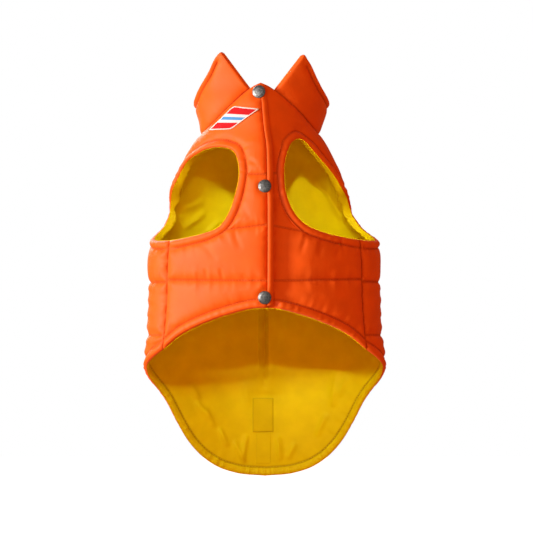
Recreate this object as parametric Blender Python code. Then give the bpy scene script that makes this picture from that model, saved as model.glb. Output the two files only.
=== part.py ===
"""Padded dog coat, filled out as if worn, neck up and belly towards -Y.

The coat is a tube of quilted cloth. A point on it is given by its turn, the angle round the body
in degrees (0 belly, 90 the side at -X, 180 back, 270 the side at +X), and its height. Each panel is a
grid of such points between its seam lines; its wall is that grid moved out and in.
Tables and lengths are in millimetres, and become metres when a mesh is made.
"""
import bpy
import numpy as np

MM = 0.001

# Cloth
STITCH_WALL = 1.5     # shell cloth and batting where a stitch line squeezes them
PUFF = 3.2            # how far the batting lifts the shell between stitch lines
PINCH = 4.5           # distance from a stitch line over which the lift grows
BAND = 8.0            # width of the stitched edge round hem and armholes
BAND_LIFT = 1.7
LINING_WALL = 1.5
LAYER_GAP = 0.4       # between shell and lining
SEAM_GAP = 0.6        # between panels that are sewn edge to edge
NECK_GAP = 0.8        # between the neckline and the collar
ROW_STEP = 9.0        # usual distance between two rows of a panel's grid
HEM_DEGREE = 1.6      # cloth in one degree of turn near the hem

# Front closure, measured from the belly's centre line towards +X
LEFT_EDGE = 2.6       # where the left front's last stitch line runs
PLACKET_WIDTH = 5.2
PLACKET_FLAT = 1.4    # its top face where a snap presses on it
FLAT_ZONE = {"left": 9.0, "right": 7.5}   # width beside the closure that carries no lift
KEEL = 0.30           # share of the belly's depth that is a ridge instead of an arch
KEEL_ROUND = 0.06

SNAP_DIAMETER = 12.5
SNAP_RISE = 2.6


def columns(names, rows):
    """A table with named columns, as one array for each name."""
    return dict(zip(names.split(), np.array(rows, dtype=float).T))


# Horizontal sections: half widths towards -X and +X, depths in front of and behind the axis
SECTIONS = columns("height left right belly back shift axis", [
    (-330, 108, 108, 54, 57, 0, -8),
    (-225, 111, 111.5, 59, 60, 0, -8),
    (-205, 109.5, 109.5, 60, 60.5, 0, -8),
    (-160, 107, 107, 62.5, 61, 0, -8),
    (-115, 106.5, 106.5, 64, 61, 0, -8),
    (-103, 104, 103, 64.5, 61, 0, -8),
    (-90, 101, 96, 64.5, 60, 0, -8),
    (-75, 97, 86, 64, 59, 0, -7),
    (-58, 90.5, 77, 63, 57.5, 0, -6),
    (-43, 82, 71, 61.5, 55, 0, -4.5),
    (-27, 73, 63.5, 59, 52, 0, -3),
    (-13, 65, 58, 56, 49, 0, -1.5),
    (0, 56.5, 52, 52, 46, -1.2, 0),
    (24, 49, 47, 46, 41, -2.7, 2),
    (50, 43, 42, 40, 34, -4.3, 3),
])

# One slanted hem, short under the belly and long over the tail
HEM = columns("turn height", [
    (0, -166.5), (30, -180.5), (45, -191.2), (61, -207), (75, -215.5), (90, -222.5), (108, -232),
    (116, -239), (122, -248), (135, -281), (150, -309.5), (165, -322.5), (180, -326),
])
NECKLINE = columns("turn height", [
    (0, 46), (9, 43), (16, 39.5), (40, 24), (65, 8.5), (90, -1.5), (140, -4), (180, -5),
])

# Armholes, from the side seam forwards over the top and back down to the side seam.
# turn is counted from the belly on either side.
ARMHOLES = {
    "left": columns("turn height", [
        (57, -103.2), (45, -100.7), (33, -96), (25.5, -90), (20, -74), (17.4, -52), (18.2, -34),
        (24.3, -20), (37, -15), (54, -16.5), (68, -23), (76, -31), (82, -43), (95, -54),
        (109, -63), (116, -76), (114, -88), (104, -97), (90, -101.7), (74, -103.4)]),
    "right": columns("turn height", [
        (57, -102.4), (40, -98.4), (29, -92.5), (21.5, -84), (16.5, -68), (14.9, -48), (17.5, -29),
        (25, -13.5), (36, -7.2), (46, -10), (57, -27), (67, -43), (74, -55), (86, -64),
        (104, -71), (113, -80), (115, -90), (109, -97.5), (96, -102), (78, -103.4)]),
}
SIDE_SEAM_LOW = 60.0      # turn of the side seam at the hem
SHOULDER_TURN = 128.0     # where the shoulder seam meets the neckline
SHOULDER_HEIGHT = -80.0   # where it meets the armhole
ARMHOLE_CORNER = 26.0     # turn of the armhole point that faces the throat
TAIL_CORNER = 150.0       # turn at which the hem stops being a side of the back panel

BELLY_QUILTS = (-141.5, -88.4, -41.4)
BACK_QUILTS = (-294.5, -244.0, -193.8, -143.5, -93.0, -43.0)
BELLY_UNDERARM = -110.0   # height on the closure that faces the underarm
SPINE_LEVELS = {"seam_foot": -212.0, "underarm": -120.0, "shoulder": -82.0}   # and on the centre back

# Collar: free edge as an ellipse, its heights, and how far round its front points stand
COLLAR_START = 14.0
COLLAR_POINT = 37.0
COLLAR_EDGE = {"half_width": 64.0, "half_depth": 56.0, "shift": -3.3, "axis": 12.0}
COLLAR_HEIGHTS = columns("turn height", [
    (37, 75), (44, 68), (52, 55.5), (60, 45.5), (75, 34), (90, 28), (140, 25), (180, 24),
])
COLLAR_PUFF = 2.2
COLLAR_ROWS = columns("rise lift", [(0, 0), (0.22, 1.0), (0.5, 1.0), (0.8, 0.1), (0.9, 0.6), (1.0, 0)])
COLLAR_ENDS = 0.05        # share of the collar at each front end over which its filling thins out
THIN_END = 0.15           # share of the filling that is left there

PLACKET_ROWS = columns("across lift", [(0, 0.7), (0.3, 1.9), (0.75, 1.7), (1.0, 0)])
PLACKET_TOP = 2.5         # how far the placket's top tab stops below the neckline
PLACKET_FOOT = 1.5        # and its foot above the hem
CAP_PROFILE = columns("radius height", [(0.88, 0), (1.0, 0.25), (0.97, 0.5), (0.75, 0.82), (0.4, 1.0)])
CAP_SIDES = 20

# Each snap's place, and its cap's flat back over the ridge under it
SNAPS = {"snap_top": (-5.6, 37.0, 0.6), "snap_middle": (-0.3, -52.5, 1.35),
         "snap_bottom": (-0.3, -157.0, 1.55)}
EMBLEM = {"x": -28.0, "height": 12.5, "length": 39.0, "width": 16.0, "tilt": 28.0, "corner": 5.0,
          "clearance": 0.95, "wall": 1.0}
LOOP_PATCH = {"x": -2.0, "low": -286.0, "high": -253.5, "width": 20.0, "wall": 1.0}
LOOP_TAPE = {"x": -1.5, "low": -316.5, "high": -286.8, "width": 14.0, "wall": 1.0}

ORANGE = (0.90, 0.115, 0.012, 1.0)
YELLOW = (0.82, 0.60, 0.01, 1.0)
NICKEL = (0.42, 0.39, 0.35, 1.0)
RED = (0.60, 0.01, 0.02, 1.0)


def smooth(table, value, at, key="height"):
    """Cubic Hermite curve through a table's column, with slopes from neighbouring rows."""
    xs, ys = table[key], table[value]
    slopes = np.gradient(ys, xs)
    at = np.clip(at, xs[0], xs[-1])
    i = np.clip(np.searchsorted(xs, at) - 1, 0, len(xs) - 2)
    step = xs[i + 1] - xs[i]
    u = (at - xs[i]) / step
    return ((1 + 2 * u) * (1 - u) ** 2 * ys[i] + u * (1 - u) ** 2 * step * slopes[i]
            + u * u * (3 - 2 * u) * ys[i + 1] - u * u * (1 - u) * step * slopes[i + 1])


def folded(turn):
    """Turn counted from the belly on either side, 0 to 180."""
    return 180 - np.abs(np.mod(turn, 360) - 180)


def torso(turn, height, out=0.0):
    """Point on the coat at a turn and a height, moved out level with the ground."""
    angle = np.radians(turn)
    s, c = np.sin(angle), np.cos(angle)
    at = {name: smooth(SECTIONS, name, height) for name in SECTIONS if name != "height"}
    width = np.where(s >= 0, at["left"], at["right"])
    span = np.hypot(1, KEEL_ROUND) - KEEL_ROUND
    ridge = (np.hypot(s, KEEL_ROUND) - KEEL_ROUND) / span
    ridge_slope = s * c / np.hypot(s, KEEL_ROUND) / span
    belly = -at["belly"] * ((1 - KEEL) * c + KEEL * (1 - ridge))
    belly_slope = at["belly"] * ((1 - KEEL) * s + KEEL * ridge_slope)
    x = at["shift"] - width * s
    y = at["axis"] + np.where(c >= 0, belly, -at["back"] * c)
    across = -width * c
    along = np.where(c >= 0, belly_slope, at["back"] * s)
    size = np.hypot(across, along)
    return np.stack([x - out * along / size, y + out * across / size, height + 0 * x], axis=-1)


def turn_at(x, height):
    """Turn of the belly point that lies x from the centre line."""
    width = np.where(x < 0, smooth(SECTIONS, "left", height), smooth(SECTIONS, "right", height))
    return -np.degrees(np.arcsin(x / width))


# Paths are arrays of (turn, height) rows

def lengths(path):
    """Cloth length along a path from its first point."""
    steps = np.linalg.norm(np.diff(torso(path[:, 0], path[:, 1]), axis=0), axis=1)
    return np.concatenate([[0], np.cumsum(steps)])


def along(path, marks, counts):
    """Points on a path: counts[i] equal steps between the lengths marks[i] and marks[i + 1]."""
    at = np.concatenate([np.linspace(a, b, n, endpoint=False)
                         for a, b, n in zip(marks, marks[1:], counts)] + [marks[-1:]])
    run = lengths(path)
    return np.stack([np.interp(at, run, path[:, 0]), np.interp(at, run, path[:, 1])], axis=1)


def length_at(path, height, start=0.0):
    """Length at which a rising path first passes a height, after a start length."""
    run = lengths(path)
    passed = np.nonzero((path[:, 1] >= height) & (run >= start - 1e-6))[0]
    return run[passed[0]]


def armhole(side):
    """Closed smooth curve of one armhole, from the side seam and back to it, and its shoulder."""
    table = ARMHOLES[side]
    points = np.stack([table["turn"], table["height"]], axis=1)
    count = len(points)
    before, after = np.roll(points, 1, axis=0), np.roll(points, -1, axis=0)
    later = np.roll(points, -2, axis=0)
    u = np.linspace(0, 1, 24, endpoint=False)[None, :, None]
    p0, p1, p2, p3 = (p[:, None, :] for p in (before, points, after, later))
    curve = 0.5 * (2 * p1 + (p2 - p0) * u + (2 * p0 - 5 * p1 + 4 * p2 - p3) * u ** 2
                   + (3 * p1 - p0 - 3 * p2 + p3) * u ** 3)
    loop = np.concatenate([curve.reshape(count * 24, 2), points[:1]])
    top = int(np.argmax(loop[:, 1]))
    corner = int(np.nonzero(loop[:top, 0] <= ARMHOLE_CORNER)[0][-1])
    shoulder = top + int(np.nonzero(loop[top:, 1] <= SHOULDER_HEIGHT)[0][0])
    return loop, corner, shoulder


def line(start, end, count=40):
    """Straight path between two points."""
    return np.linspace(start, end, count)


def side_seam(side):
    """Straight seam from the hem up to the armhole."""
    loop = armhole(side)[0]
    low = (SIDE_SEAM_LOW, float(smooth(HEM, "height", SIDE_SEAM_LOW, "turn")))
    return line(low, loop[0])


def neck_path(start, end, count=80):
    """The neckline between two turns."""
    turn = np.linspace(start, end, count)
    return np.stack([turn, smooth(NECKLINE, "height", folded(turn), "turn")], axis=1)


def cloth_scale(point):
    """Millimetres of cloth for one degree of turn and for one millimetre of height."""
    turn, height = point[..., 0], point[..., 1]
    across = np.linalg.norm(torso(turn + 0.5, height) - torso(turn - 0.5, height), axis=-1)
    up = np.linalg.norm(torso(turn, height + 0.5) - torso(turn, height - 0.5), axis=-1)
    return np.stack([across, up], axis=-1)


def stitch_beside(path, marks, distance):
    """Points beside a path at the given lengths, left of its direction, mitred at its corners."""
    scale = cloth_scale(path)
    step = np.diff(path, axis=0) * scale[:-1]
    normal = np.stack([-step[:, 1], step[:, 0]], axis=1)
    normal /= np.linalg.norm(normal, axis=1, keepdims=True)
    run = lengths(path)
    nearest = np.abs(run[None, :] - np.asarray(marks)[:, None]).argmin(axis=1)
    before = normal[np.clip(nearest - 1, 0, len(normal) - 1)]
    after = normal[np.clip(nearest, 0, len(normal) - 1)]
    mitre = (before + after) / (1 + (before * after).sum(axis=1, keepdims=True))
    edge = np.stack([np.interp(marks, run, path[:, k]) for k in (0, 1)], axis=1)
    return edge, edge + distance * mitre / scale[nearest]


def steps_between(marks, counts):
    """counts[i] equal steps from marks[i] to marks[i + 1], with the last mark."""
    return np.concatenate([np.linspace(a, b, n, endpoint=False)
                           for a, b, n in zip(marks, marks[1:], counts)] + [marks[-1:]])


def fill(distance):
    """Lift of the shell from the distance to the nearest stitch line."""
    return PUFF * (1 - np.exp(-(np.clip(distance, 0, None) / PINCH) ** 1.4))


def row_length(turn, height):
    """Length of each grid row over the cloth."""
    return np.linalg.norm(np.diff(torso(turn, height), axis=1), axis=2).sum(axis=1)


def hem_height(turn, above=0.0):
    """Height of the hem, or of a line a given distance above it."""
    turn = folded(turn)
    height = smooth(HEM, "height", turn, "turn")
    slope = (smooth(HEM, "height", turn + 0.5, "turn") - smooth(HEM, "height", turn - 0.5, "turn"))
    return height + above * np.hypot(1, slope / HEM_DEGREE)


def follow_hem(turn, height, fade_rows):
    """Bend the lowest rows of a grid to the hem: its edge, then its stitch line, then less and less."""
    rows = np.arange(len(height))[:, None]
    wanted = hem_height(turn, np.clip(rows / 2, 0, 1) * BAND)
    start = hem_height(turn[2], BAND) - height[2]
    fade = np.clip(1 - (rows - 2) / (fade_rows - 2), 0, 1)
    return np.where(rows <= 2, wanted, height + fade * start)


def front_grid(side):
    """Grid of one front, from the closure and neckline to the side seam and armhole."""
    edge_x = LEFT_EDGE if side == "left" else -(LEFT_EDGE + SEAM_GAP)
    loop, corner, shoulder = armhole(side)
    heights = np.linspace(HEM["height"][0], NECKLINE["height"][0], 90)
    centre = np.stack([turn_at(edge_x, heights), heights], axis=1)
    outer = np.concatenate([centre, neck_path(centre[-1, 0], SHOULDER_TURN)[1:]])
    seam = side_seam(side)
    inner = np.concatenate([seam, loop[1:shoulder + 1]])
    low, middle, high = BELLY_QUILTS
    outer_run, inner_run = lengths(outer), lengths(inner)
    underarm = inner_run[len(seam) - 1]
    outer_marks = [0, BAND, length_at(outer, low), length_at(outer, BELLY_UNDERARM),
                   length_at(outer, middle), length_at(outer, high), outer_run[len(centre) - 1],
                   outer_run[-1]]
    inner_marks = [0, BAND, length_at(inner, low), underarm, length_at(inner, middle, underarm),
                   length_at(inner, high, underarm), inner_run[len(seam) - 1 + corner], inner_run[-1]]
    counts = (2, 3, 2, 4, 3, 4, 8)
    start = along(outer, outer_marks, counts)
    edge, stitch = stitch_beside(inner, steps_between(inner_marks, counts), BAND)
    shoulder_run = (outer[-1] - edge[-1]) * cloth_scale(edge[-1])
    stitch[-1] = edge[-1] + (outer[-1] - edge[-1]) * BAND / np.linalg.norm(shoulder_run)
    even = np.linspace(0, 1, 20)
    size = row_length(start[:, :1] + (stitch - start)[:, :1] * even,
                      start[:, 1:] + (stitch - start)[:, 1:] * even)
    widest_zone, columns_across = 0.6, 5
    zone = np.minimum(FLAT_ZONE[side] / size, widest_zone)
    across = zone[:, None] + (1 - zone)[:, None] * np.linspace(0, 1, columns_across)
    across = np.concatenate([0 * zone[:, None], across], axis=1)
    turn, height = (np.concatenate([start[:, k:k + 1] + (stitch - start)[:, k:k + 1] * across,
                                    ((stitch + edge) / 2)[:, k:k + 1], edge[:, k:k + 1]], axis=1)
                    for k in (0, 1))
    height = follow_hem(turn, height, counts[0] + counts[1])
    rows = np.cumsum((0,) + counts)
    number = np.arange(len(turn))
    from_row = np.abs(number[:, None] - rows[[1, 2, 4, 5, 7]]).min(axis=1) * ROW_STEP
    from_side = np.minimum(across, 1 - across) * size[:, None]
    from_closure = (smooth(SECTIONS, "left", height) * np.sin(np.radians(turn)) + edge_x)[:, :-2]
    from_side = np.minimum(from_side, from_closure - FLAT_ZONE[side])
    lift = np.zeros_like(turn)
    lift[:, :-2] = fill(np.minimum(from_side, from_row[:, None]))
    lift[rows[3]:-1, -2] = BAND_LIFT
    lift[1, 2:-1] = BAND_LIFT
    if side == "right":
        turn = 360 - turn
    return turn, height, lift


def back_grid():
    """Grid of the back, from the left side seam and armhole round to the right ones."""
    counts = (2, 2, 4, 3, 1, 3, 2, 5, 2, 2, 2)
    edges, stitches = [], []
    for side in ("left", "right"):
        loop, _, shoulder = armhole(side)
        turns = np.linspace(TAIL_CORNER, SIDE_SEAM_LOW, 80)
        hem = np.stack([turns, smooth(HEM, "height", turns, "turn")], axis=1)
        seam = side_seam(side)
        under = loop[:shoulder - 1:-1]
        neck_end = neck_path(SHOULDER_TURN, SHOULDER_TURN, 1)[0]
        path = np.concatenate([hem, seam[1:], under[1:], line(under[-1], neck_end)[1:]])
        run = lengths(path)
        underarm = run[len(hem) + len(seam) - 2]
        arm_end = run[len(hem) + len(seam) + len(under) - 3]
        tail, loin, waist, rib, chest, neck = BACK_QUILTS
        marks = [0, BAND, length_at(path, tail), length_at(path, loin), run[len(hem) - 1],
                 length_at(path, waist), length_at(path, rib), underarm,
                 length_at(path, chest, underarm), arm_end, length_at(path, neck, arm_end), run[-1]]
        edge, stitch = stitch_beside(path, steps_between(marks, counts), -BAND)
        edges.append(edge)
        stitches.append(stitch)
    mirror = np.array([-1, 1.0]), np.array([360, 0.0])
    left_edge, left = edges[0], stitches[0]
    right_edge, right = edges[1] * mirror[0] + mirror[1], stitches[1] * mirror[0] + mirror[1]
    centre = steps_between([HEM["height"][-1], HEM["height"][-1] + BAND, tail, loin,
                            SPINE_LEVELS["seam_foot"], waist, rib, SPINE_LEVELS["underarm"], chest,
                            SPINE_LEVELS["shoulder"], neck, NECKLINE["height"][-1]], counts)
    columns_across, arch_power = 14, 2.5
    across = np.linspace(0, 1, columns_across)
    turn = left[:, :1] + (right - left)[:, :1] * across
    level = left[:, 1:] + (right - left)[:, 1:] * across
    arch = 1 - np.abs(2 * across - 1) ** arch_power
    height = level + (centre - (left[:, 1] + right[:, 1]) / 2)[:, None] * arch
    left_band, right_band = (left_edge + left) / 2, (right_edge + right) / 2
    turn, height = (np.concatenate([left_edge[:, k:k + 1], left_band[:, k:k + 1], inside,
                                    right_band[:, k:k + 1], right_edge[:, k:k + 1]], axis=1)
                    for k, inside in ((0, turn), (1, height)))
    rows = np.cumsum((0,) + counts)
    number = np.arange(len(turn))
    edge_columns = [0, 1, -2, -1]
    side_height = height[:, edge_columns].copy()
    height = follow_hem(turn, height, rows[2])
    height[1:, edge_columns] = side_height[1:]
    neck_fade = np.clip((number - rows[10]) / counts[10], 0, 1)[:, None]
    height = height + neck_fade * (smooth(NECKLINE, "height", folded(turn[-1]), "turn") - height[-1])
    size = row_length(turn[:, 2:-2], height[:, 2:-2])
    from_side = np.minimum(across, 1 - across) * size[:, None]
    from_row = np.abs(number[:, None] - rows[[1, 2, 3, 5, 6, 8, 10, 11]]).min(axis=1) * ROW_STEP
    lift = np.zeros_like(turn)
    lift[:, 2:-2] = fill(np.minimum(from_side, from_row[:, None]))
    lift[1:rows[4], 1] = lift[1:rows[4], -2] = BAND_LIFT
    lift[rows[7]:rows[9], 1] = lift[rows[7]:rows[9], -2] = BAND_LIFT
    lift[1, 1:-1] = BAND_LIFT
    lift[0] = 0
    return turn, height, lift


def shrink(turn, height, gap):
    """The same grid with its outer edge drawn in by a length, to leave room at the seams."""
    points = torso(turn, height)
    turn, height = turn.copy(), height.copy()
    most = 0.4
    for axis in (0, 1):
        steps = np.linalg.norm(np.diff(points, axis=axis), axis=2)
        for values in (turn, height):
            view = values if axis == 0 else values.T
            size = steps if axis == 0 else steps.T
            view[0] += (view[1] - view[0]) * np.minimum(gap / size[0], most)
            view[-1] += (view[-2] - view[-1]) * np.minimum(gap / size[-1], most)
    return turn, height


def material(name, colour, roughness, metallic=0.0):
    """Principled material."""
    made = bpy.data.materials.new(name)
    made.use_nodes = True
    shader = made.node_tree.nodes["Principled BSDF"]
    shader.inputs["Base Color"].default_value = colour
    shader.inputs["Roughness"].default_value = roughness
    shader.inputs["Metallic"].default_value = metallic
    return made


def add_object(name, points, faces, look):
    """Object from points in millimetres and a list of faces."""
    mesh = bpy.data.meshes.new(name)
    mesh.from_pydata((points * MM).tolist(), [], faces)
    mesh.shade_smooth()
    mesh.set_sharp_from_angle(angle=np.radians(50))
    mesh.materials.append(look)
    bpy.context.collection.objects.link(bpy.data.objects.new(name, mesh))


def triangles(quads, points):
    """Each quad cut along its shorter diagonal in the given points."""
    first = np.linalg.norm(points[quads[:, 0]] - points[quads[:, 2]], axis=1)
    second = np.linalg.norm(points[quads[:, 1]] - points[quads[:, 3]], axis=1)
    turned = np.where((first <= second)[:, None], quads, np.roll(quads, -1, axis=1))
    return np.concatenate([turned[:, [0, 1, 2]], turned[:, [0, 2, 3]]])


def slab(name, outside, inside, middle, look):
    """Closed wall between two grids of points, edges included, with its faces outwards.

    The middle grid settles how the quads are cut, so that layers of one grid never cross.
    """
    rows, cols = outside.shape[:2]
    count = rows * cols
    points = np.concatenate([outside.reshape(-1, 3), inside.reshape(-1, 3)])
    index = np.arange(count).reshape(rows, cols)
    quads = np.stack([index[:-1, :-1], index[1:, :-1], index[1:, 1:], index[:-1, 1:]], axis=-1)
    skin = triangles(quads.reshape(-1, 4), middle.reshape(-1, 3))
    rim = np.concatenate([index[0, :-1], index[:-1, -1], index[-1, :0:-1], index[:0:-1, 0],
                          index[0, :1]])
    edge = np.stack([rim[:-1], rim[1:], rim[1:] + count, rim[:-1] + count], axis=-1)
    faces = np.concatenate([skin, skin[:, ::-1] + count, triangles(edge, points)])
    corners = points[faces]
    volume = np.einsum("ij,ij->i", corners[:, 0], np.cross(corners[:, 1], corners[:, 2])).sum()
    add_object(name, points, (faces if volume > 0 else faces[:, ::-1]).tolist(), look)


def make_panel(name, grid, shell_look, lining_look):
    """A padded panel of the coat and, inside it, its lining."""
    turn, height, lift = grid
    turn, height = shrink(turn, height, SEAM_GAP / 2)
    middle = torso(turn, height)
    skin = -(STITCH_WALL + LAYER_GAP)
    slab(name, torso(turn, height, lift), torso(turn, height, -STITCH_WALL), middle, shell_look)
    slab("lining_" + name, torso(turn, height, skin), torso(turn, height, skin - LINING_WALL),
         middle, lining_look)


def make_collar(shell_look, lining_look):
    """Collar wall from the neckline up to its free edge, with a point at each front end."""
    around = np.linspace(0, 1, 33)
    base_turn = COLLAR_START + (360 - 2 * COLLAR_START) * around
    edge_turn = COLLAR_POINT + (360 - 2 * COLLAR_POINT) * around
    base_height = smooth(NECKLINE, "height", folded(base_turn), "turn") + NECK_GAP
    base = torso(base_turn, base_height)
    base_out = torso(base_turn, base_height, 1.0) - base
    angle = np.radians(edge_turn)
    wide, deep = COLLAR_EDGE["half_width"], COLLAR_EDGE["half_depth"]
    edge = np.stack([COLLAR_EDGE["shift"] - wide * np.sin(angle),
                     COLLAR_EDGE["axis"] - deep * np.cos(angle),
                     smooth(COLLAR_HEIGHTS, "height", folded(edge_turn), "turn")], axis=1)
    edge_out = np.stack([-deep * np.sin(angle), -wide * np.cos(angle), 0 * angle], axis=1)
    edge_out /= np.linalg.norm(edge_out, axis=1, keepdims=True)
    rise = COLLAR_ROWS["rise"][:, None, None]
    middle = base + (edge - base) * rise
    out = base_out + (edge_out - base_out) * rise
    out /= np.linalg.norm(out, axis=2, keepdims=True)
    from_end = np.clip(np.minimum(around, 1 - around) / COLLAR_ENDS, 0, 1)[None, :, None]
    lift = COLLAR_PUFF * COLLAR_ROWS["lift"][:, None, None] * (THIN_END + (1 - THIN_END) * from_end)
    skin = -(STITCH_WALL + LAYER_GAP)
    slab("collar", middle + out * lift, middle - out * STITCH_WALL, middle, shell_look)
    slab("lining_collar", middle + out * skin, middle + out * (skin - LINING_WALL), middle,
         lining_look)


def make_placket(look):
    """Rolled edge of the left front, lying on the right front beside the closure."""
    heights = np.linspace(HEM["height"][0] + PLACKET_FOOT, NECKLINE["height"][1] - PLACKET_TOP, 34)
    xs = LEFT_EDGE + LAYER_GAP + PLACKET_WIDTH * PLACKET_ROWS["across"]
    height = np.repeat(heights[:, None], len(xs), axis=1)
    turn = turn_at(xs[None, :], height)
    from_snap = np.min([np.abs(height - snap[1]) for snap in SNAPS.values()], axis=0)
    lift = PLACKET_FLAT + PLACKET_ROWS["lift"] * (1 - np.exp(-(from_snap / SNAP_DIAMETER) ** 4))
    under = torso(turn, height, SEAM_GAP)
    slab("placket", torso(turn, height, lift), under, under, look)


def make_snap(name, look):
    """Domed cap turned about the line that stands out from the cloth."""
    x, height, clearance = SNAPS[name]
    turn = turn_at(x - smooth(SECTIONS, "shift", height), height)
    axis = np.cross(torso(turn, height + 4) - torso(turn, height - 4),
                    torso(turn + 4, height) - torso(turn - 4, height))
    axis /= np.linalg.norm(axis)
    seat = torso(turn, height) + clearance * axis
    side = np.cross([0, 0, 1.0], axis)
    side /= np.linalg.norm(side)
    up = np.cross(axis, side)
    angle = np.linspace(0, 2 * np.pi, CAP_SIDES, endpoint=False)
    ring = np.cos(angle)[:, None] * side + np.sin(angle)[:, None] * up
    rings = [seat + SNAP_DIAMETER / 2 * radius * ring + SNAP_RISE * rise * axis
             for radius, rise in zip(CAP_PROFILE["radius"], CAP_PROFILE["height"])]
    points = np.concatenate(rings + [[seat], [seat + SNAP_RISE * axis]])
    k = np.arange(CAP_SIDES)
    after = (k + 1) % CAP_SIDES
    top = CAP_SIDES * (len(rings) - 1)
    bands = [np.stack([k + row, after + row, after + row + CAP_SIDES, k + row + CAP_SIDES], axis=1)
             for row in range(0, top, CAP_SIDES)]
    low_middle, high_middle = np.full_like(k, len(points) - 2), np.full_like(k, len(points) - 1)
    base_cap = np.stack([after, k, low_middle], axis=1)
    top_cap = np.stack([k + top, after + top, high_middle], axis=1)
    add_object(name, points, np.concatenate(bands).tolist() + base_cap.tolist() + top_cap.tolist(),
               look)


def lift_under(turn, height, grid):
    """Lift of the nearest place on a panel, its grid cut finer first."""
    fine = []
    for values in grid:
        rows, cols = values.shape
        down, side = np.linspace(0, rows - 1, rows * 6), np.linspace(0, cols - 1, cols * 6)
        wide = np.stack([np.interp(side, np.arange(cols), row) for row in values])
        fine.append(np.stack([np.interp(down, np.arange(rows), col) for col in wide.T]).ravel())
    apart = (1.5 * (turn[..., None] - fine[0])) ** 2 + (height[..., None] - fine[1]) ** 2
    return fine[2][apart.argmin(axis=-1)]


def make_emblem(grid, look):
    """Rounded patch on the left chest, with its grid laid on the cloth and moved out."""
    half_long, half_wide, corner = EMBLEM["length"] / 2, EMBLEM["width"] / 2, EMBLEM["corner"]
    v = half_wide * np.sin(np.linspace(-np.pi / 2, np.pi / 2, 9))
    into_corner = np.clip(np.abs(v) - half_wide + corner, 0, None)
    inset = corner - np.sqrt(corner ** 2 - into_corner ** 2)
    u = np.linspace(-1, 1, 9)[None, :] * (half_long - inset)[:, None]
    v = np.repeat(v[:, None], 9, axis=1)
    tilt = np.radians(EMBLEM["tilt"])
    x = EMBLEM["x"] + u * np.cos(tilt) - v * np.sin(tilt)
    height = EMBLEM["height"] + u * np.sin(tilt) + v * np.cos(tilt)
    turn = turn_at(x - smooth(SECTIONS, "shift", height), height)
    lift = lift_under(turn, height, grid) + EMBLEM["clearance"]
    under = torso(turn, height, lift)
    slab("emblem", torso(turn, height, lift + EMBLEM["wall"]), under, under, look)


def make_inside_strip(name, size, look):
    """Flat strip sewn on the lining of the tail."""
    heights = np.linspace(size["low"], size["high"], 6)
    xs = size["x"] + size["width"] * np.linspace(-0.5, 0.5, 5)
    height = np.repeat(heights[:, None], len(xs), axis=1)
    turn = 180 + np.degrees(np.arcsin(xs[None, :] / smooth(SECTIONS, "left", height)))
    face = -(STITCH_WALL + LAYER_GAP + LINING_WALL + SEAM_GAP)
    top = torso(turn, height, face)
    slab(name, top, torso(turn, height, face - size["wall"]), top, look)


for old in list(bpy.data.objects):
    bpy.data.objects.remove(old, do_unlink=True)

left_grid = front_grid("left")
make_panel("front_left", left_grid, material("left_front_nylon", ORANGE, 0.55),
           material("left_front_lining", YELLOW, 0.6))
make_panel("front_right", front_grid("right"), material("right_front_nylon", ORANGE, 0.55),
           material("right_front_lining", YELLOW, 0.6))
make_panel("back", back_grid(), material("back_nylon", ORANGE, 0.55),
           material("back_lining", YELLOW, 0.6))
make_collar(material("collar_nylon", ORANGE, 0.55), material("collar_lining", YELLOW, 0.6))
make_placket(material("placket_nylon", ORANGE, 0.55))
for snap_name in SNAPS:
    make_snap(snap_name, material(snap_name + "_nickel", NICKEL, 0.35, 1.0))
make_emblem(left_grid, material("emblem_weave", RED, 0.7))
make_inside_strip("loop_patch", LOOP_PATCH, material("loop_patch_cloth", YELLOW, 0.8))
make_inside_strip("loop_tape", LOOP_TAPE, material("loop_tape_cloth", YELLOW, 0.8))
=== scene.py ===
"""Padded dog coat, hollow, neck up and belly towards -Y, in its finished cloth and fittings.

Lengths on the coat are in millimetres and become metres when a mesh is made. A place on it is a
turn, the angle round the body in degrees (0 belly, 90 the side at -X, 180 back), and a height.
"""

import bpy
import numpy as np
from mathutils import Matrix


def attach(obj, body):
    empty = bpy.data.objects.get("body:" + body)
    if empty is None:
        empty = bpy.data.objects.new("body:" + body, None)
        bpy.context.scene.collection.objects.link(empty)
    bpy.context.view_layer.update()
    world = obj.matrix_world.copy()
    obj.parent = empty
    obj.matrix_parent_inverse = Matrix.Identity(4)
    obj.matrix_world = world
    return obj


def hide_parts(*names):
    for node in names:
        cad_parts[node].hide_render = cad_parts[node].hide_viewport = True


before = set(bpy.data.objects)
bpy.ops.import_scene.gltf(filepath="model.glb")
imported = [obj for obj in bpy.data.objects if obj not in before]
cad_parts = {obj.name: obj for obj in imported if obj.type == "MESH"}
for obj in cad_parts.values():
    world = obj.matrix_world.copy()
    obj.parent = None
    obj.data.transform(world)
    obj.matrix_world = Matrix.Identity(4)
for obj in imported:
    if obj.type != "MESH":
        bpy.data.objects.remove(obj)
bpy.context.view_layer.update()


# ---------------------------------------------------------------------------------------------
# Studio. The coat hangs in a white room. A key light far on the left, a large one in front and one
# behind shape the nylon. Narrow lamps and a dim amber one light the lining through the armholes and
# the hem. A surround fills the shadows with warm light, as orange cloth does.
# ---------------------------------------------------------------------------------------------
view_middle = np.array([0.0014, 0.0, -0.1278])
view_distance = 7.0
view_width = 0.5064

camera_data = bpy.data.cameras.new("camera")
camera_data.sensor_width = 36.0
camera_data.lens = 36.0 * view_distance / view_width
camera = bpy.data.objects.new("camera", camera_data)
camera.location = view_middle - [0, view_distance, 0]
camera.rotation_euler = (np.pi / 2, 0, 0)
bpy.context.collection.objects.link(camera)
bpy.context.scene.camera = camera
bpy.context.scene.view_settings.view_transform = "Standard"

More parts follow.
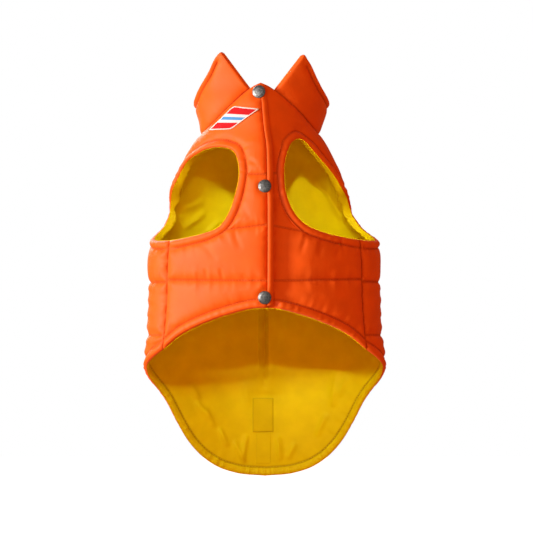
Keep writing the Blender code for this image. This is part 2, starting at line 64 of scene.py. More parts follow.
lit_outside = bpy.data.collections.new("lit_outside")
lit_inside = bpy.data.collections.new("lit_inside")


def soft_light(name, lit, left, up, distance, size, power, aim=view_middle, beam=None, colour=(1, 1, 1)):
    """Light on some of the pieces, so many degrees left of the camera and above it.

    It is a square, or with a beam, the radius in metres of what it lights, a round lamp.
    """
    left, up = np.radians(left), np.radians(up)
    away = np.array([-np.sin(left) * np.cos(up), -np.cos(left) * np.cos(up), np.sin(up)])
    data = bpy.data.lights.new(name, "SPOT" if beam else "AREA")
    data.energy = power
    data.color = colour
    if beam:
        data.shadow_soft_size = size / 2
        data.spot_size = 2 * np.arctan(beam / distance)
        data.spot_blend = 0.25
    else:
        data.size = size
    light = bpy.data.objects.new(name, data)
    light.location = aim + distance * away
    light.rotation_euler = (np.pi / 2 - up, 0, -left)
    light.light_linking.receiver_collection = lit
    bpy.context.collection.objects.link(light)


soft_light("key_light", lit_outside, left=64, up=5, distance=2.2, size=0.4, power=57)
soft_light("front_light", lit_outside, left=36, up=12, distance=2.4, size=1.2, power=14)
soft_light("back_light", lit_outside, left=152, up=28, distance=2.4, size=1.0, power=42)
for across, left, up, power in ((-0.072, 16, 28, 195), (0.072, 0, 25, 380)):
    soft_light("armhole_light", lit_inside, left=left, up=up, distance=2.0, size=0.26, power=power,
               aim=np.array([across, 0, -0.075]), beam=0.07, colour=(0.97, 0.97, 0.8))
soft_light("hem_light", lit_inside, left=24, up=31, distance=2.0, size=0.4, power=102,
           aim=np.array([0, 0, -0.29]), beam=0.18, colour=(0.9, 1, 0.8))
soft_light("glow_light", lit_inside, left=0, up=-10, distance=2.4, size=1.6, power=22,
           colour=(1, 0.27, 0))


def set_sockets(shader, values):
    """Set a shader's own sockets."""
    for name, value in values.items():
        shader.inputs[name].default_value = value


surround = bpy.data.worlds.new("white_room")
surround.use_nodes = True
room_nodes, room_links = surround.node_tree.nodes, surround.node_tree.links
room_ray = room_nodes.new("ShaderNodeLightPath")
room_shade = room_nodes["Background"]
set_sockets(room_shade, {"Color": (1.0, 0.29, 0.02, 1), "Strength": 0.60})
for ray, colour, strength in (("Is Glossy Ray", (1.0, 0.92, 0.86, 1), 0.13),
                              ("Is Camera Ray", (1, 1, 1, 1), 1.0)):
    room_part = room_nodes.new("ShaderNodeBackground")
    set_sockets(room_part, {"Color": colour, "Strength": strength})
    room_mix = room_nodes.new("ShaderNodeMixShader")
    room_links.new(room_ray.outputs[ray], room_mix.inputs[0])
    room_links.new(room_shade.outputs[0], room_mix.inputs[1])
    room_links.new(room_part.outputs[0], room_mix.inputs[2])
    room_shade = room_mix
room_links.new(room_shade.outputs[0], room_nodes["World Output"].inputs["Surface"])
bpy.context.scene.world = surround

floor_height, floor_reach = -0.62, 12.0
floor_mesh = bpy.data.meshes.new("floor")
floor_mesh.from_pydata([(x * floor_reach, y * floor_reach, floor_height)
                        for x, y in ((-1, -1), (1, -1), (1, 1), (-1, 1))], [], [(0, 1, 2, 3)])
floor = bpy.data.objects.new("floor", floor_mesh)
bpy.context.collection.objects.link(floor)
floor_look = bpy.data.materials.new("floor_paint")
floor_look.use_nodes = True
set_sockets(floor_look.node_tree.nodes["Principled BSDF"],
            {"Base Color": (0.95, 0.95, 0.95, 1), "Roughness": 0.9, "Emission Color": (1, 1, 1, 1),
             "Emission Strength": 1.1})
floor_mesh.materials.append(floor_look)
floor.visible_diffuse = False
floor.visible_glossy = False


# ---------------------------------------------------------------------------------------------
# Left and right front. Orange nylon over batting, quilted across, sewn to the back at the side and
# the shoulder. At the hem and the armhole the padded edge is stitched 8 mm in, so it rolls.
# ---------------------------------------------------------------------------------------------
def columns(names, rows):
    """A table with named columns, as one array for each name."""
    return dict(zip(names.split(), np.array(rows, dtype=float).T))


MM = 0.001
PUFF = 2.8            # how far the batting lifts the nylon between stitch lines
PINCH = 3.6           # distance from a stitch line over which the lift grows
GROOVE = 0.7          # how deep a stitch line pulls the nylon in
SWELL, SWELL_SIZE = 0.5, 46.0         # height and breadth of the broad swells in the batting
SWELLS = 5            # their seed, the same on all panels, so that they meet at the seams
PUCKER, PUCKER_REACH = 0.95, 4.6      # height of the puckers at a stitch line, and where they fade
SCALLOP, SCALLOP_PITCH = 0.45, 12.5   # waves down the flanks, where the cloth is gathered
BAND = 8.0            # width of the stitched edge
BAND_ROLL = 1.9       # how far it stands out
BAND_RIPPLE, RIPPLE_PITCH = 0.5, 8.0
EDGE_FOLD = 1.7       # depth of the fold where nylon and lining meet at a free edge
EDGE_RADIUS = 3.4
SNAP_PRESS = 7.5      # radius that a snap presses flat
NYLON_WALL = 1.5
SUNK = 2.0            # how far the right front is pressed in beside the placket
KEEL, KEEL_ROUND = 0.30, 0.06         # share of the ridge in the belly's section, and its roundness
ROW_STEPS = 8         # fine rows in each row of the cut
FRONT_COLUMNS, BAND_COLUMNS = 60, 12
# Where the left front's last stitch line runs: it drifts towards -X at the throat
CLOSURE = columns("height x", [(-166.5, 2.6), (-60, 2.6), (-20, 1.9), (10, 0.6), (50, -0.2)])
# Horizontal sections: half widths towards -X and +X, depths in front of and behind the axis
SECTIONS = columns("height left right belly back shift axis", [
    (-330, 108.5, 108.5, 54, 57, 0, -8),
    (-225, 114, 113.7, 59, 60, 0, -8),
    (-210, 112.6, 112, 60, 60.5, 0, -8),
    (-190, 110.6, 109.6, 61.3, 60.8, 0, -8),
    (-160, 109, 108, 62.5, 61, 0, -8),
    (-115, 108.8, 107.8, 64, 61, 0, -8),
    (-104, 107.6, 106.6, 64.5, 61, 0, -8),
    (-90, 101, 96, 64.5, 60, 0, -8),
    (-75, 97, 86, 64, 59, 0, -7),
    (-58, 91, 77, 63, 57.5, 0, -6),
    (-43, 84, 71, 61.5, 55, 0, -4.5),
    (-27, 76, 63, 59, 52, 0, -3),
    (-13, 66.5, 56, 56, 49, 0, -1.5),
    (0, 57, 50, 52, 46, -1.2, 0),
    (24, 49, 47, 46, 41, -2.7, 2),
    (50, 43, 42, 40, 34, -4.3, 3),
])
# One slanted hem, short under the belly and long over the tail
HEM = columns("turn height", [
    (0, -166.8), (5, -167.1), (16, -171.8), (30, -180.2), (45, -191.2), (61, -207), (75, -215.8),
    (90, -223.5), (99, -229.5), (108, -237), (118, -246.8), (125, -258.5), (131, -275), (137.5, -292.3),
    (144, -305), (154, -317.9), (165, -325.0), (180, -327.9),
])
NECKLINE = columns("turn height", [
    (0, 46), (9, 43), (16, 39.5), (40, 24), (65, 8.5), (90, -1.5), (140, -4), (180, -5),
])
# Armholes, from the side seam forwards over the top and back down to the side seam
ARMHOLES = {
    "left": columns("turn height", [
        (57, -103.2), (45, -100.7), (33, -96), (25.5, -90), (20, -74), (17.4, -52), (18.2, -34),
        (24.3, -20), (37, -15), (54, -16.5), (68, -22.5), (79, -29.5), (86, -40), (90.5, -50),
        (98, -58), (106, -67), (109.5, -77), (107, -89), (98, -97), (87, -101.7), (74, -103.4)]),
    "right": columns("turn height", [
        (57, -102.4), (40, -98.4), (29, -92.5), (21.5, -84), (16.5, -68), (14.9, -48), (17.5, -29),
        (25, -13.5), (36, -7.2), (46, -9.5), (59, -25.5), (68, -36), (75, -45.5), (84, -56),
        (96, -64), (105, -73), (108.5, -83), (106.5, -93), (98, -99.5), (88, -102.5), (76, -103.4)]),
}
SIDE_SEAM_LOW = 60.0      # turn of the side seam at the hem
SHOULDER_TURN = 128.0     # where the shoulder seam meets the neckline
SHOULDER_HEIGHT = -80.0   # where it meets the armhole
ARMHOLE_CORNER = 26.0     # turn of the armhole point that faces the throat
BELLY_QUILTS = (-141.5, -88.4, -41.4)
BELLY_UNDERARM = -110.0   # height on the closure that faces the underarm
HEM_DEGREE = 1.6          # cloth in one degree of turn near the hem
# Snap places on the closure: x and height
SNAPS = {"snap_top": (-5.6, 37.0), "snap_middle": (-0.3, -52.5), "snap_bottom": (-0.3, -157.0)}


def hermite(xs, ys, at):
    """Cubic curve through points, with each point's slope taken from its neighbours."""
    slopes = np.gradient(ys, xs)
    at = np.clip(at, xs[0], xs[-1])
    i = np.clip(np.searchsorted(xs, at) - 1, 0, len(xs) - 2)
    step = xs[i + 1] - xs[i]
    u = (at - xs[i]) / step
    return ((1 + 2 * u) * (1 - u) ** 2 * ys[i] + u * (1 - u) ** 2 * step * slopes[i]
            + u * u * (3 - 2 * u) * ys[i + 1] - u * u * (1 - u) * step * slopes[i + 1])


def smooth(table, value, at, key="height"):
    """A table's column as a smooth curve."""
    return hermite(table[key], table[value], at)


def folded(turn):
    """Turn counted from the belly on either side, 0 to 180."""
    return 180 - np.abs(np.mod(turn, 360) - 180)


def torso(turn, height, out=0.0):
    """Point on the coat: half an ellipse at the back, and at the belly an ellipse mixed with a ridge.

    The point is then moved out along the section's normal, level with the ground.
    """
    angle = np.radians(turn)
    s, c = np.sin(angle), np.cos(angle)
    at = {name: smooth(SECTIONS, name, height) for name in SECTIONS if name != "height"}
    width = np.where(s >= 0, at["left"], at["right"])
    span = np.hypot(1, KEEL_ROUND) - KEEL_ROUND
    ridge = (np.hypot(s, KEEL_ROUND) - KEEL_ROUND) / span
    ridge_slope = s * c / np.hypot(s, KEEL_ROUND) / span
    belly = -at["belly"] * ((1 - KEEL) * c + KEEL * (1 - ridge))
    belly_slope = at["belly"] * ((1 - KEEL) * s + KEEL * ridge_slope)
    x = at["shift"] - width * s
    y = at["axis"] + np.where(c >= 0, belly, -at["back"] * c)
    across = -width * c
    along = np.where(c >= 0, belly_slope, at["back"] * s)
    size = np.hypot(across, along)
    return np.stack([x - out * along / size, y + out * across / size, height + 0 * x], axis=-1)


def turn_at(x, height):
    """Turn of the belly point that lies x from the centre line."""
    width = np.where(x < 0, smooth(SECTIONS, "left", height), smooth(SECTIONS, "right", height))
    return -np.degrees(np.arcsin(x / width))


def run_along(line):
    """Length along a line of points from its first."""
    return np.concatenate([[0], np.cumsum(np.linalg.norm(np.diff(line, axis=0), axis=1))])


def lengths(path):
    """Cloth length along a path of (turn, height) rows from its first point."""
    return run_along(torso(path[:, 0], path[:, 1]))


def length_at(path, height, start=0.0):
    """Length at which a rising path first passes a height, after a start length."""
    run = lengths(path)
    passed = np.nonzero((path[:, 1] >= height) & (run >= start - 1e-6))[0]
    return run[passed[0]]


def steps_between(marks, counts):
    """counts[i] equal steps from marks[i] to marks[i + 1], with the last mark."""
    return np.concatenate([np.linspace(a, b, n, endpoint=False)
                           for a, b, n in zip(marks, marks[1:], counts)] + [marks[-1:]])


def points_at(path, at):
    """Points of a path at the given lengths."""
    run = lengths(path)
    return np.stack([np.interp(at, run, path[:, 0]), np.interp(at, run, path[:, 1])], axis=-1)


def armhole(side):
    """Closed Catmull-Rom curve of one armhole, its throat corner and its shoulder."""
    table = ARMHOLES[side]
    points = np.stack([table["turn"], table["height"]], axis=1)
    count, steps = len(points), 24
    u = np.linspace(0, 1, steps, endpoint=False)[None, :, None]
    p0, p1, p2, p3 = (np.roll(points, shift, axis=0)[:, None, :] for shift in (1, 0, -1, -2))
    curve = 0.5 * (2 * p1 + (p2 - p0) * u + (2 * p0 - 5 * p1 + 4 * p2 - p3) * u ** 2
                   + (3 * p1 - p0 - 3 * p2 + p3) * u ** 3)
    loop = np.concatenate([curve.reshape(count * steps, 2), points[:1]])
    top = int(np.argmax(loop[:, 1]))
    corner = int(np.nonzero(loop[:top, 0] <= ARMHOLE_CORNER)[0][-1])
    shoulder = top + int(np.nonzero(loop[top:, 1] <= SHOULDER_HEIGHT)[0][0])
    return loop, corner, shoulder


def side_seam(side):
    """Straight seam from the hem up to the armhole."""
    low = (SIDE_SEAM_LOW, float(smooth(HEM, "height", SIDE_SEAM_LOW, "turn")))
    return np.linspace(low, armhole(side)[0][0], 40)


def neck_path(start, end, count=80):
    """The neckline between two turns."""
    turn = np.linspace(start, end, count)
    return np.stack([turn, smooth(NECKLINE, "height", folded(turn), "turn")], axis=1)


def cloth_scale(point):
    """Millimetres of cloth for one degree of turn and for one millimetre of height."""
    turn, height = point[..., 0], point[..., 1]
    across = np.linalg.norm(torso(turn + 0.5, height) - torso(turn - 0.5, height), axis=-1)
    up = np.linalg.norm(torso(turn, height + 0.5) - torso(turn, height - 0.5), axis=-1)
    return np.stack([across, up], axis=-1)


def beside(path, marks, distance):
    """Points beside a path at the given lengths, left of its direction, mitred at its corners."""
    scale = cloth_scale(path)
    step = np.diff(path, axis=0) * scale[:-1]
    normal = np.stack([-step[:, 1], step[:, 0]], axis=1)
    normal /= np.linalg.norm(normal, axis=1, keepdims=True)
    nearest_point = np.abs(lengths(path)[None, :] - np.asarray(marks)[:, None]).argmin(axis=1)
    before = normal[np.clip(nearest_point - 1, 0, len(normal) - 1)]
    after = normal[np.clip(nearest_point, 0, len(normal) - 1)]
    mitre = (before + after) / (1 + (before * after).sum(axis=1, keepdims=True))
    return points_at(path, marks) + distance * mitre / scale[nearest_point]


def spread(values, breaks):
    """Smooth curve through the rows of an array, with a corner only at each break."""
    at = np.arange((len(values) - 1) * ROW_STEPS + 1) / ROW_STEPS
    fine = np.empty((len(at), values.shape[1]))
    for low, high in zip(breaks, breaks[1:]):
        part = (at >= low) & (at <= high)
        for k in range(values.shape[1]):
            fine[part, k] = hermite(np.arange(low, high + 1.0), values[low:high + 1, k], at[part])
    return fine


def hem_height(turn, above=0.0):
    """Height of the hem, or of a line a given distance above it."""
    turn = folded(turn)
    slope = smooth(HEM, "height", turn + 0.5, "turn") - smooth(HEM, "height", turn - 0.5, "turn")
    return smooth(HEM, "height", turn, "turn") + above * np.hypot(1, slope / HEM_DEGREE)


def follow_hem(turn, height, fade_rows):
    """Bend the lowest rows of a grid to the hem: its edge, its stitch line, then less and less."""
    rows = np.arange(len(height))[:, None] / ROW_STEPS
    start = hem_height(turn[2 * ROW_STEPS], BAND) - height[2 * ROW_STEPS]
    fade = np.clip(1 - (rows - 2) / (fade_rows - 2), 0, 1)
    return np.where(rows <= 2, hem_height(turn, rows / 2 * BAND), height + fade * start)


def band_steps():
    """Shares of the stitched edge's width, closer together at its free edge."""
    return np.sin(np.linspace(0, np.pi / 2, BAND_COLUMNS + 1))[1:]


def trace(grid, rows, cols):
    """A row or a column of a grid, as a path."""
    return np.stack([grid[0][rows, cols], grid[1][rows, cols]], axis=-1).reshape(-1, 2)


def mirrored(path, side):
    """The same path on the other side of the body, for the right."""
    return path if side == "left" else np.stack([360 - path[:, 0], path[:, 1]], axis=1)


def front_cut(side):
    """Grid of one front and its sewn lines, from the closure and neckline to the side and armhole."""
    loop, corner, shoulder = armhole(side)
    heights = np.linspace(HEM["height"][0], NECKLINE["height"][0], 500)
    edge_x = smooth(CLOSURE, "x", heights) * (1 if side == "left" else -1)
    centre = np.stack([turn_at(edge_x, heights), heights], axis=1)
    outer = np.concatenate([centre, neck_path(centre[-1, 0], SHOULDER_TURN)[1:]])
    seam = side_seam(side)
    inner = np.concatenate([seam, loop[1:shoulder + 1]])
    low, middle, high = BELLY_QUILTS
    outer_run, inner_run = lengths(outer), lengths(inner)
    underarm = inner_run[len(seam) - 1]
    outer_marks = [0, BAND, length_at(outer, low), length_at(outer, BELLY_UNDERARM),
                   length_at(outer, middle), length_at(outer, high), outer_run[len(centre) - 1],
                   outer_run[-1]]
    inner_marks = [0, BAND, length_at(inner, low), underarm, length_at(inner, middle, underarm),
                   length_at(inner, high, underarm), inner_run[len(seam) - 1 + corner], inner_run[-1]]
    counts = np.array((2, 3, 2, 4, 3, 4, 8))
    rows = np.concatenate([[0], np.cumsum(counts)])
    start = points_at(outer, steps_between(outer_marks, counts * ROW_STEPS))
    edge = points_at(inner, steps_between(inner_marks, counts * ROW_STEPS))
    stitch = beside(inner, steps_between(inner_marks, counts), BAND)
    shoulder_run = (outer[-1] - inner[-1]) * cloth_scale(inner[-1])
    shoulder_end = inner[-1] + (outer[-1] - inner[-1]) * BAND / np.linalg.norm(shoulder_run)
    stitch[-1] = shoulder_end
    stitch = spread(stitch, (0, rows[1], rows[3], rows[-1]))
    across = np.linspace(0, 1, FRONT_COLUMNS + 1)
    turn, height = (np.concatenate([start[:, k:k + 1] + (stitch - start)[:, k:k + 1] * across,
                                    stitch[:, k:k + 1] + (edge - stitch)[:, k:k + 1] * band_steps()],
                                   axis=1) for k in (0, 1))
    height = follow_hem(turn, height, rows[2])
    if side == "right":
        turn = 360 - turn
    grid = (turn, height)
    fine = rows * ROW_STEPS
    to_side = np.linspace(trace(grid, fine[3], FRONT_COLUMNS)[0],
                          mirrored(points_at(inner, [underarm - BAND]), side)[0], 12)
    return {
        "grid": grid,
        "quilts": [trace(grid, fine[2], slice(None)), trace(grid, fine[4], slice(0, FRONT_COLUMNS + 1)),
                   trace(grid, fine[5], slice(0, FRONT_COLUMNS + 1))],
        "bands": [trace(grid, fine[1], slice(None)), trace(grid, slice(fine[3], None), FRONT_COLUMNS),
                  to_side],
        "seams": [trace(grid, slice(0, fine[3]), -1), trace(grid, -1, slice(None)),
                  trace(grid, slice(None), 0)],
        "free": [trace(grid, 0, slice(None)), trace(grid, slice(fine[3], None), -1)],
        "closure": [trace(grid, slice(0, fine[6]), 0)],
        "rims": [(np.s_[:2 * ROW_STEPS], np.s_[:1], np.s_[1:2]),
                 (np.s_[fine[3] + 1:, FRONT_COLUMNS:], np.s_[fine[3] + 1:, -1:], np.s_[fine[3] + 1:, -2:-1])],
    }


def nearest(points, paths):
    """Distance from each point to the nearest of some paths, and the length along them there."""
    starts, steps, runs, passed = [], [], [], 0.0
    step_length, apart = 2.5, 37.0
    for path in paths:
        run = lengths(path)
        line = points_at(path, np.linspace(0, run[-1], int(run[-1] / step_length) + 2))
        line = torso(line[:, 0], line[:, 1])
        starts.append(line[:-1])
        steps.append(np.diff(line, axis=0))
        size = np.linalg.norm(steps[-1], axis=1)
        runs.append(passed + np.cumsum(size) - size)
        passed += size.sum() + apart
    start, step, run = np.concatenate(starts), np.concatenate(steps), np.concatenate(runs)
    middle, size = start + step / 2, np.linalg.norm(step, axis=1)
    distance, along = [], []
    for some in np.array_split(points.reshape(-1, 3), 40):
        squared = (middle ** 2).sum(axis=1) - 2 * some @ middle.T
        near = np.argpartition(squared, 3, axis=1)[:, :4]
        offset = some[:, None] - start[near]
        share = np.clip((offset * step[near]).sum(axis=2) / size[near] ** 2, 0, 1)
        gap = np.linalg.norm(offset - share[..., None] * step[near], axis=2)
        best = gap.argmin(axis=1)[:, None]
        distance.append(np.take_along_axis(gap, best, 1)[:, 0])
        along.append(np.take_along_axis(run[near] + share * size[near], best, 1)[:, 0])
    shape = points.shape[:-1]
    return np.concatenate(distance).reshape(shape), np.concatenate(along).reshape(shape)


def waves(points, size, seed, stretch=(1, 1, 1), count=14):
    """Soft random swells about a size across: sine waves in many directions, added up, near -1 to 1."""
    chance = np.random.default_rng(seed)
    direction = chance.normal(size=(count, 3))
    direction /= np.linalg.norm(direction, axis=1, keepdims=True)
    number = 2 * np.pi / (size * chance.uniform(0.7, 1.6, count))
    phase = chance.uniform(0, 2 * np.pi, count)
    return np.sin((points / stretch) @ (direction * number[:, None]).T + phase).sum(axis=-1) / count ** 0.5


def ripple(run, seed, longest=13.0):
    """Uneven puckers along a sewn line: three sine waves, stronger in some places than in others."""
    chance = np.random.default_rng(seed)
    total = 0
    for share in (0.38, 0.62, 1.0):
        phase = chance.uniform(0, 2 * np.pi, 2)
        strength = 0.55 + 0.45 * np.sin(2 * np.pi * run / (longest * 4.7 * share) + phase[0])
        total = total + share * strength * np.sin(2 * np.pi * run / (longest * share) + phase[1])
    return total / 1.4


def rounded(distance, radius):
    """Quarter circle: 0 at a free edge, 1 from the radius on."""
    return np.sqrt(np.clip(1 - (1 - np.clip(distance / radius, 0, 1)) ** 2, 0, 1))


def from_snaps(points):
    """Distance to the nearest snap, seen from the belly."""
    return np.min([np.hypot(points[..., 0] - x, points[..., 2] - height)
                   + 99 * (points[..., 1] > 0) for x, height in SNAPS.values()], axis=0)


def creased(points, creases):
    """Soft ridges and hollows along straight lines, drawn as seen from the belly, that fade at their ends."""
    total = np.zeros(points.shape[:-1])
    for x1, height1, x2, height2, width, depth in creases:
        along_x, along_height = x2 - x1, height2 - height1
        size = np.hypot(along_x, along_height)
        from_x, from_height = points[..., 0] - x1, points[..., 2] - height1
        share = (from_x * along_x + from_height * along_height) / size ** 2
        off = (from_x * along_height - from_height * along_x) / size
        total += depth * np.exp(-(off / width) ** 2) * np.clip(4 * share * (1 - share), 0, 1) ** 0.7
    return total


def quilted(cut, seed, creases=()):
    """How far the nylon stands out: batting between sewn lines, puckers beside them, rolled edges."""
    points = torso(*cut["grid"])
    height = points[..., 2]
    sewn, run = nearest(points, cut["quilts"] + cut["bands"] + cut["seams"])
    edge = nearest(points, cut["free"])[0]
    flank = np.exp(-((folded(cut["grid"][0]) - 90) / 26) ** 2) * (height < -108)
    low = np.clip((-140 - height) / 4, 0, 1)
    puff = PUFF * (1 - 0.35 * flank)
    pinch = PINCH * (1 + 0.35 * ripple(run, seed + 1, 21.0))
    batting = (puff + GROOVE) * (1 - np.exp(-(sewn / pinch) ** 1.05)) - GROOVE
    batting += SWELL * waves(points, SWELL_SIZE, SWELLS, (1.6, 1.6, 1)) * (1 - np.exp(-sewn / 9.0))
    batting += PUCKER * ripple(run, seed + 2) * np.exp(-sewn / PUCKER_REACH) * (1 - np.exp(-sewn / 0.9))
    batting += creased(points, creases) * (1 - np.exp(-sewn / 3.0))
    uneven = height + 2 * ripple(height, seed)
    batting += SCALLOP * flank * low * np.sin(2 * np.pi * uneven / SCALLOP_PITCH)
    roll = (BAND_ROLL + GROOVE) * (1 - np.exp(-(sewn / 1.8) ** 1.2)) - GROOVE
    roll += BAND_RIPPLE * ripple(run, seed + 3, RIPPLE_PITCH) * (1 - np.exp(-sewn / 1.5))
    roll += 0.8 * creased(points, creases)
    lift = np.where(edge < BAND, roll, batting)
    lift = lift * (1 - np.exp(-(from_snaps(points) / SNAP_PRESS) ** 4))
    if "covered" in cut:
        bare = nearest(points, cut["covered"])[0]
        bare = np.clip(np.where(edge < BAND, (bare - 7.0) / 6.0, (bare - 12.0) / 32.0), 0, 1)
        sunk = SUNK * np.clip(0.2 - height / 50, 0, 1)
        lift = (lift + sunk) * bare ** 2 * (3 - 2 * bare) - sunk
    return -EDGE_FOLD + (EDGE_FOLD + lift) * rounded(edge, EDGE_RADIUS), sewn


def add_mesh(name, points, faces, look, uv=None, sewn=None):
    """Object from points in millimetres and quads or triangles, with its UV map and sewn mask."""
    mesh = bpy.data.meshes.new(name)
    mesh.from_pydata((points * MM).tolist(), [], faces.tolist() if hasattr(faces, "tolist") else faces)
    mesh.shade_smooth()
    mesh.set_sharp_from_angle(angle=np.radians(55))
    if uv is not None:
        corner = np.empty(len(mesh.loops), dtype=np.int32)
        mesh.loops.foreach_get("vertex_index", corner)
        layer = mesh.uv_layers.new(name="cloth")
        layer.data.foreach_set("uv", uv[corner].astype(np.float32).ravel())
    if sewn is not None:
        mask = mesh.attributes.new("sewn", "FLOAT", "POINT")
        mask.data.foreach_set("value", sewn.astype(np.float32).ravel())
    mesh.materials.append(look)
    piece = bpy.data.objects.new(name, mesh)
    bpy.context.collection.objects.link(piece)
    return piece


def wall(name, outside, inside, look, uv, sewn):
    """Closed wall between two grids of points, edges included, with its faces outwards."""
    rows, cols = outside.shape[:2]
    count = rows * cols
    points = np.concatenate([outside.reshape(-1, 3), inside.reshape(-1, 3)])
    index = np.arange(count).reshape(rows, cols)
    skin = np.stack([index[:-1, :-1], index[1:, :-1], index[1:, 1:], index[:-1, 1:]], axis=-1)
    skin = skin.reshape(-1, 4)
    rim = np.concatenate([index[0, :-1], index[:-1, -1], index[-1, :0:-1], index[:0:-1, 0],
                          index[0, :1]])
    edge = np.stack([rim[:-1], rim[1:], rim[1:] + count, rim[:-1] + count], axis=-1)
    faces = np.concatenate([skin, skin[:, ::-1] + count, edge])
    a, b, c, d = (points[faces[:, k]] for k in range(4))
    volume = np.einsum("ij,ij->i", a, np.cross(b, c) + np.cross(c, d)).sum()
    if volume < 0:
        faces = faces[:, ::-1]
    uv = np.concatenate([uv.reshape(-1, 2)] * 2)
    sewn = np.concatenate([sewn.ravel()] * 2)
    return add_mesh(name, points, faces, look, uv, sewn)


def cloth_uv(turn, height):
    """Place on the cloth in metres, for the weave."""
    metres_a_degree = 0.0018
    return np.stack([turn * metres_a_degree, height * MM], axis=-1)


class Wire:
    """A shader socket that Python's arithmetic works on."""

    def __init__(self, tree, socket=None):
        self.tree, self.socket = tree, socket

    def node(self, kind, settings=(), sockets=(), out=0):
        """New node with its settings, then the values or links of its sockets."""
        made = self.tree.nodes.new(kind)
        for name, value in dict(settings).items():
            setattr(made, name, value)
        for name, value in dict(sockets).items():
            if isinstance(value, Wire):
                self.tree.links.new(value.socket, made.inputs[name])
            else:
                made.inputs[name].default_value = value
        return Wire(self.tree, made.outputs[out])

    def math(self, operation, first, second=0.0):
        """A Math node."""
        return self.node("ShaderNodeMath", {"operation": operation}, {0: first, 1: second})

    def __add__(self, other):
        return self.math("ADD", self, other)

    def __rsub__(self, other):
        return self.math("SUBTRACT", other, self)

    def __mul__(self, other):
        return self.math("MULTIPLY", self, other)

    __radd__, __rmul__ = __add__, __mul__

    def sine(self):
        """Sine, with the angle in radians."""
        return self.math("SINE", self)

    def clamped(self, low, high):
        """0 at low, 1 at high, straight between."""
        return self.node("ShaderNodeMapRange", (), {"Value": self, "From Min": low, "From Max": high})

    def mix(self, first, second):
        """Colour between two others, by this share."""
        return self.node("ShaderNodeMix", {"data_type": "RGBA"}, {0: self, 6: first, 7: second}, out=2)


def cloth_place(start):
    """A piece's own map, and its two parts."""
    uv = start.node("ShaderNodeUVMap", {"uv_map": "cloth"})
    return [uv] + [start.node("ShaderNodeSeparateXYZ", (), {0: uv}, out=k) for k in (0, 1)]


def noise(start, place, scale, detail):
    """Random mottling, so fine at a scale."""
    return start.node("ShaderNodeTexNoise", (), {"Vector": place, "Scale": scale, "Detail": detail})


def finish(start, shader, colour, height, relief, strength):
    """Give a shader its colour, and its relief in metres."""
    bump = start.node("ShaderNodeBump", (), {"Height": height, "Distance": relief, "Strength": strength})
    start.tree.links.new(colour.socket, shader.inputs["Base Color"])
    start.tree.links.new(bump.socket, shader.inputs["Normal"])


def shaded(colour, share):
    """A colour made darker or lighter."""
    return (colour[0] * share, colour[1] * share, colour[2] * share, 1.0)


def new_look(name):
    """Empty Principled material: (material, its shader, a wire to start from)."""
    made = bpy.data.materials.new(name)
    made.use_nodes = True
    return made, made.node_tree.nodes["Principled BSDF"], Wire(made.node_tree)


def nylon(name, colour, roughness=0.58, sheen=0.12, gloss=0.3, thread=0.00042, relief=0.00003, seam=None):
    """Woven nylon: fine over-and-under relief, faint mottling, duller along sewn lines,
    where painted shade darkens it.

    seam is the colour of the painted shade deep in a stitch line's groove.
    """
    made, shader, start = new_look(name)
    _, u, v = cloth_place(start)
    weave = (u * (2 * np.pi / thread)).sine() * (v * (2 * np.pi / thread)).sine()
    place = start.node("ShaderNodeTexCoord", (), (), out=3)
    mottle, fine = noise(start, place, 60.0, 3.0), noise(start, place, 900.0, 2.0)
    sewn = start.node("ShaderNodeAttribute", {"attribute_name": "sewn"}, (), out=2)
    cloth = mottle.clamped(0.3, 0.7).mix(shaded(colour, 0.93), shaded(colour, 1.05))
    # Painted shade: along the sewn mask the cloth turns towards the seam colour, as if its groove lay in
    # shadow.
    tone = (sewn * 0.65).mix(cloth, seam or shaded(colour, 0.5))
    finish(start, shader, tone, weave * 0.5 + fine * 0.8, relief, 0.8)
    start.tree.links.new((fine * 0.12 + sewn * 0.15 + (roughness - 0.06)).socket, shader.inputs["Roughness"])
    set_sockets(shader, {"Sheen Weight": sheen, "Sheen Roughness": 0.4, "Specular IOR Level": gloss})
    return made


ORANGE = (0.84, 0.118, 0.002)


def dress(piece, node, slot):
    """The piece stands for a solid of the frame, which it hides, and is lit with the lining or the outside.
    """
    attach(piece, "root")
    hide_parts(node)
    (lit_inside if slot in ("lining_nylon", "loop_cloth") else lit_outside).objects.link(piece)


def inner_face(outer):
    """Inside of the nylon's wall, also where its edge folds in."""
    return np.minimum(-NYLON_WALL, outer - 0.25)


def make_shell(name, node, cut, seed, look, creases=()):
    """Quilted nylon of one panel; returns how far it stands out."""
    outer, sewn = quilted(cut, seed, creases)
    turn, height = cut["grid"]
    # The last argument masks the stitch grooves, where the nylon's material paints shade.
    piece = wall(name, torso(turn, height, outer), torso(turn, height, inner_face(outer)), look,
                 cloth_uv(turn, height), np.exp(-(sewn / 0.9) ** 2))
    dress(piece, node, "shell_nylon")
    return outer


